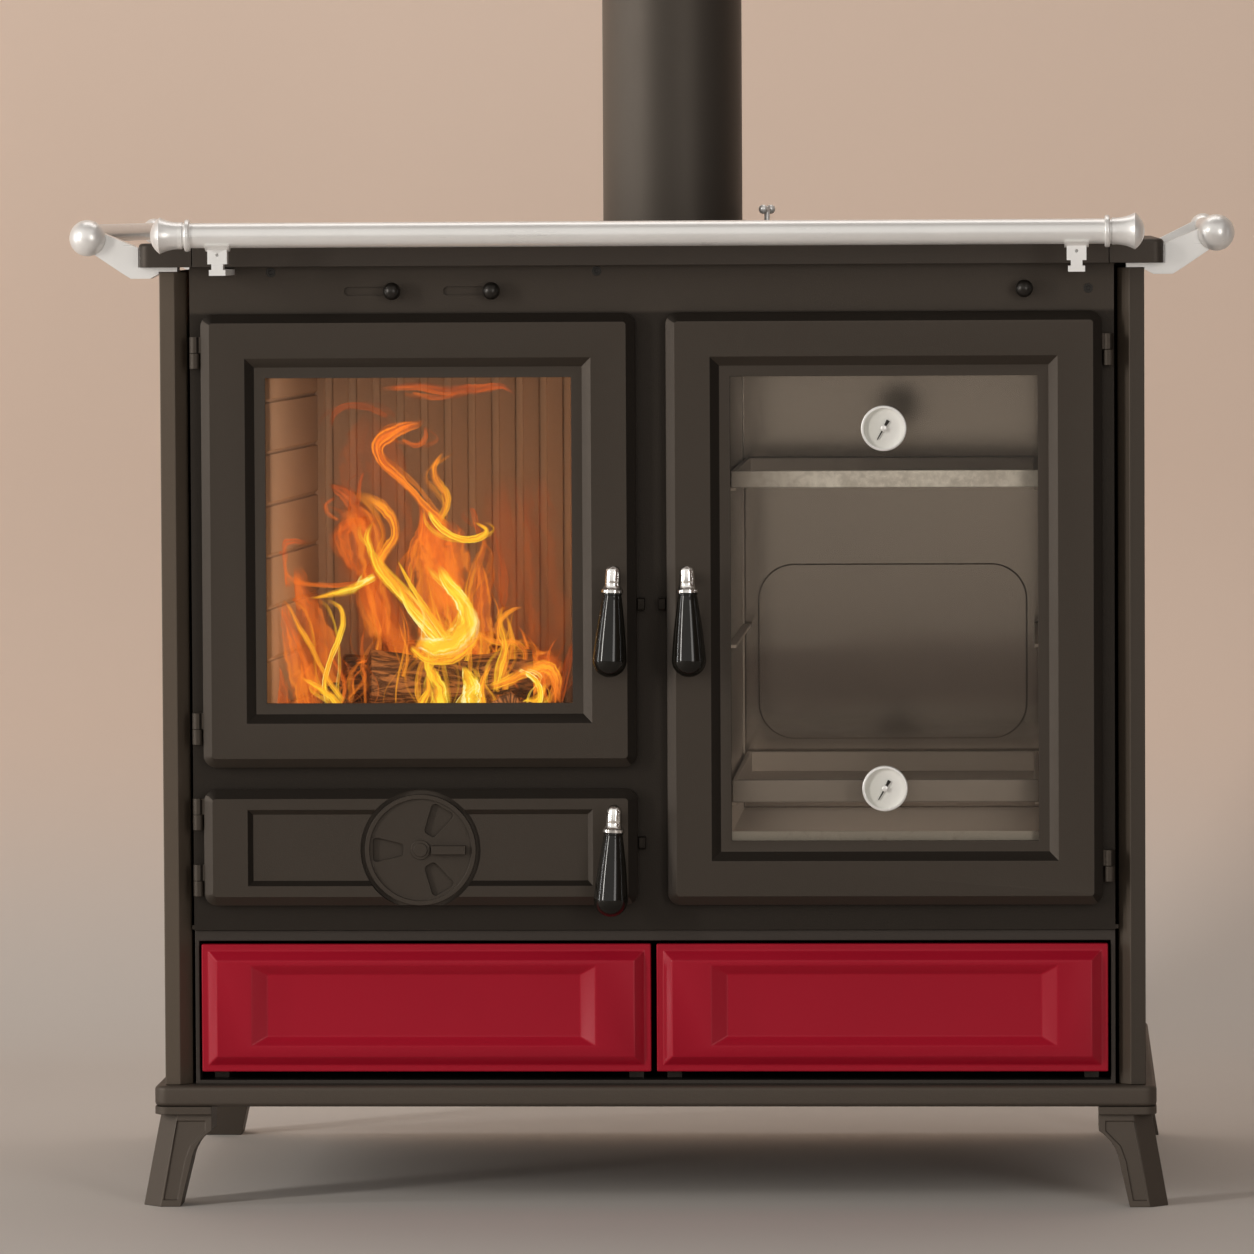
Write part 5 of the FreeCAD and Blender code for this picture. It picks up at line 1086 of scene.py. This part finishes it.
print("floor and lamps")
stage = {
    "half": 6, "near": -9, "wallY": 1.5, "bend": 0.6, "bendSteps": 16, "height": 5,
    "floorColour": (0.68, 0.64, 0.6), "wallColour": (0.84, 0.65, 0.53),
}


def backdropMesh():
    # a floor that bends up into a wall behind the stove
    wall, bend, steps = (stage[key] for key in ("wallY", "bend", "bendSteps"))
    profile = [(stage["near"], 0), (wall - bend, 0)]
    for step in range(1, steps + 1):
        angle = math.pi / 2 * step / steps
        profile.append((wall - bend * (1 - math.sin(angle)), bend * (1 - math.cos(angle))))
    profile.append((wall, stage["height"]))
    verts = [(x, y, z) for y, z in profile for x in (-stage["half"], stage["half"])]
    faces = [(i * 2, i * 2 + 1, i * 2 + 3, i * 2 + 2) for i in range(len(profile) - 1)]
    mesh = bpy.data.meshes.new("backdrop")
    mesh.from_pydata(verts, [], faces)
    mesh.shade_smooth()
    return mesh


def backdropMaterial():
    s = Shader("backdrop")
    place = s.coords()
    cloud = s.noise(place, 2, 3, 0.5)
    plaster = s.noise(place, 60, 3, 0.6)
    tone = s.mix(s.axes(place)[2].between(0, 0.35), stage["floorColour"], stage["wallColour"])
    surface = s.principled({
        "Base Color": s.mix(cloud * 0.1, tone, (0.8, 0.75, 0.7)),
        "Roughness": 0.8,
        "Normal": s.bump(plaster, 0.0004, 0.2),
    })
    # a camera behind the wall or under the floor sees through it
    unseen = s.node("NewGeometry", output="Backfacing") * s.node("LightPath", output="Is Camera Ray")
    clear = s.node("BsdfTransparent")
    return s.finish(s.node("MixShader", [unseen, surface, clear]))


backdrop = placed("backdrop", backdropMesh())
backdrop.data.materials.append(backdropMaterial())


def addLamp(name, kind, place, size, watts, colour):
    data = bpy.data.lights.new(name, kind)
    data.energy = watts
    data.color = colour
    if kind == "AREA":
        data.shape = "RECTANGLE"
        data.size, data.size_y = size
    else:
        data.shadow_soft_size = size[0]
    lamp = placed(name, data)
    lamp.location = place
    return lamp


lamps = {
    # place, aimed at, width and height, watts, colour
    "key": ((-3.6, -2.9, 1.5), (0, -0.25, 0.5), (0.4, 2.4), 78, (1, 0.96, 0.91)),
    "fill": ((2.6, -5, 1.3), (0, 0, 0.5), (1.3, 2.4), 42, (1, 0.96, 0.92)),
    "top": ((0, 0.45, 3), (0, 0.5, 0.6), (2.2, 1.2), 16, (1, 0.97, 0.94)),
    "stripAside": ((-2.9, -0.72, 0.7), (0, -0.28, 0.52), (0.05, 1.9), 10, (1, 1, 1)),
    "stripRight": ((2.9, -0.72, 0.7), (0, -0.28, 0.52), (0.03, 1.9), 1.5, (1, 1, 1)),
}
for name, (place, target, size, watts, colour) in lamps.items():
    lamp = addLamp(name, "AREA", place, size, watts, colour)
    lamp.rotation_euler = (Vector(target) - Vector(place)).to_track_quat("-Z", "Y").to_euler()

# light inside: the fire's low warm point, a soft sheet behind each glass, and one over the oven's floor
innerLamps = {
    # kind, place, tilt from straight down, width and height or radius, watts, colour
    "fireGlow": ("POINT", (-0.205, -0.06, 0.49), 0, (0.06,), 0.4, (1, 0.42, 0.12)),
    "fireFront": ("AREA", (-0.205, -0.19, 0.60), 90, (0.24, 0.36), 0.4, (1, 0.64, 0.44)),
    "ovenFront": ("AREA", (0.205, -0.238, 0.52), 90, (0.24, 0.36), 0.1, (1, 0.95, 0.88)),
    "ovenFloor": ("AREA", (0.205, -0.02, 0.352), 0, (0.24, 0.36), 0.16, (1, 0.95, 0.88)),
}
for name, (kind, place, tilt, size, watts, colour) in innerLamps.items():
    lamp = addLamp(name, kind, place, size, watts, colour)
    lamp.rotation_euler = (math.radians(tilt), 0, 0)
    lamp.visible_camera = lamp.visible_glossy = False


def studioWorld():
    # a soft room, brightest on the left, plain in front, dim above, behind and on the right
    s = Shader("studio", bpy.data.worlds)
    aside, ahead, high = s.axes(s.node("TexCoord", output="Generated"))
    band = high.between(-0.35, -0.05) * (1 - high.between(0.7, 0.92))
    front = (1 - ahead.between(-0.35, 0.05)) * (1 - aside.between(0.45, 0.8)) * band
    left = (1 - aside.between(-0.92, -0.6)) * band
    room = s.mix(front, (0.12, 0.09, 0.075), (0.86, 0.83, 0.79))
    lit = s.mix(left, room, (0.95, 0.9, 0.85))
    gloss = s.node("LightPath", output="Is Glossy Ray")
    sky = s.node("Background", {"Color": lit, "Strength": gloss * 0.65 + 0.35})
    return s.finish(sky, "OutputWorld")


scene.world = studioWorld()
scene.view_settings.view_transform = "Standard"
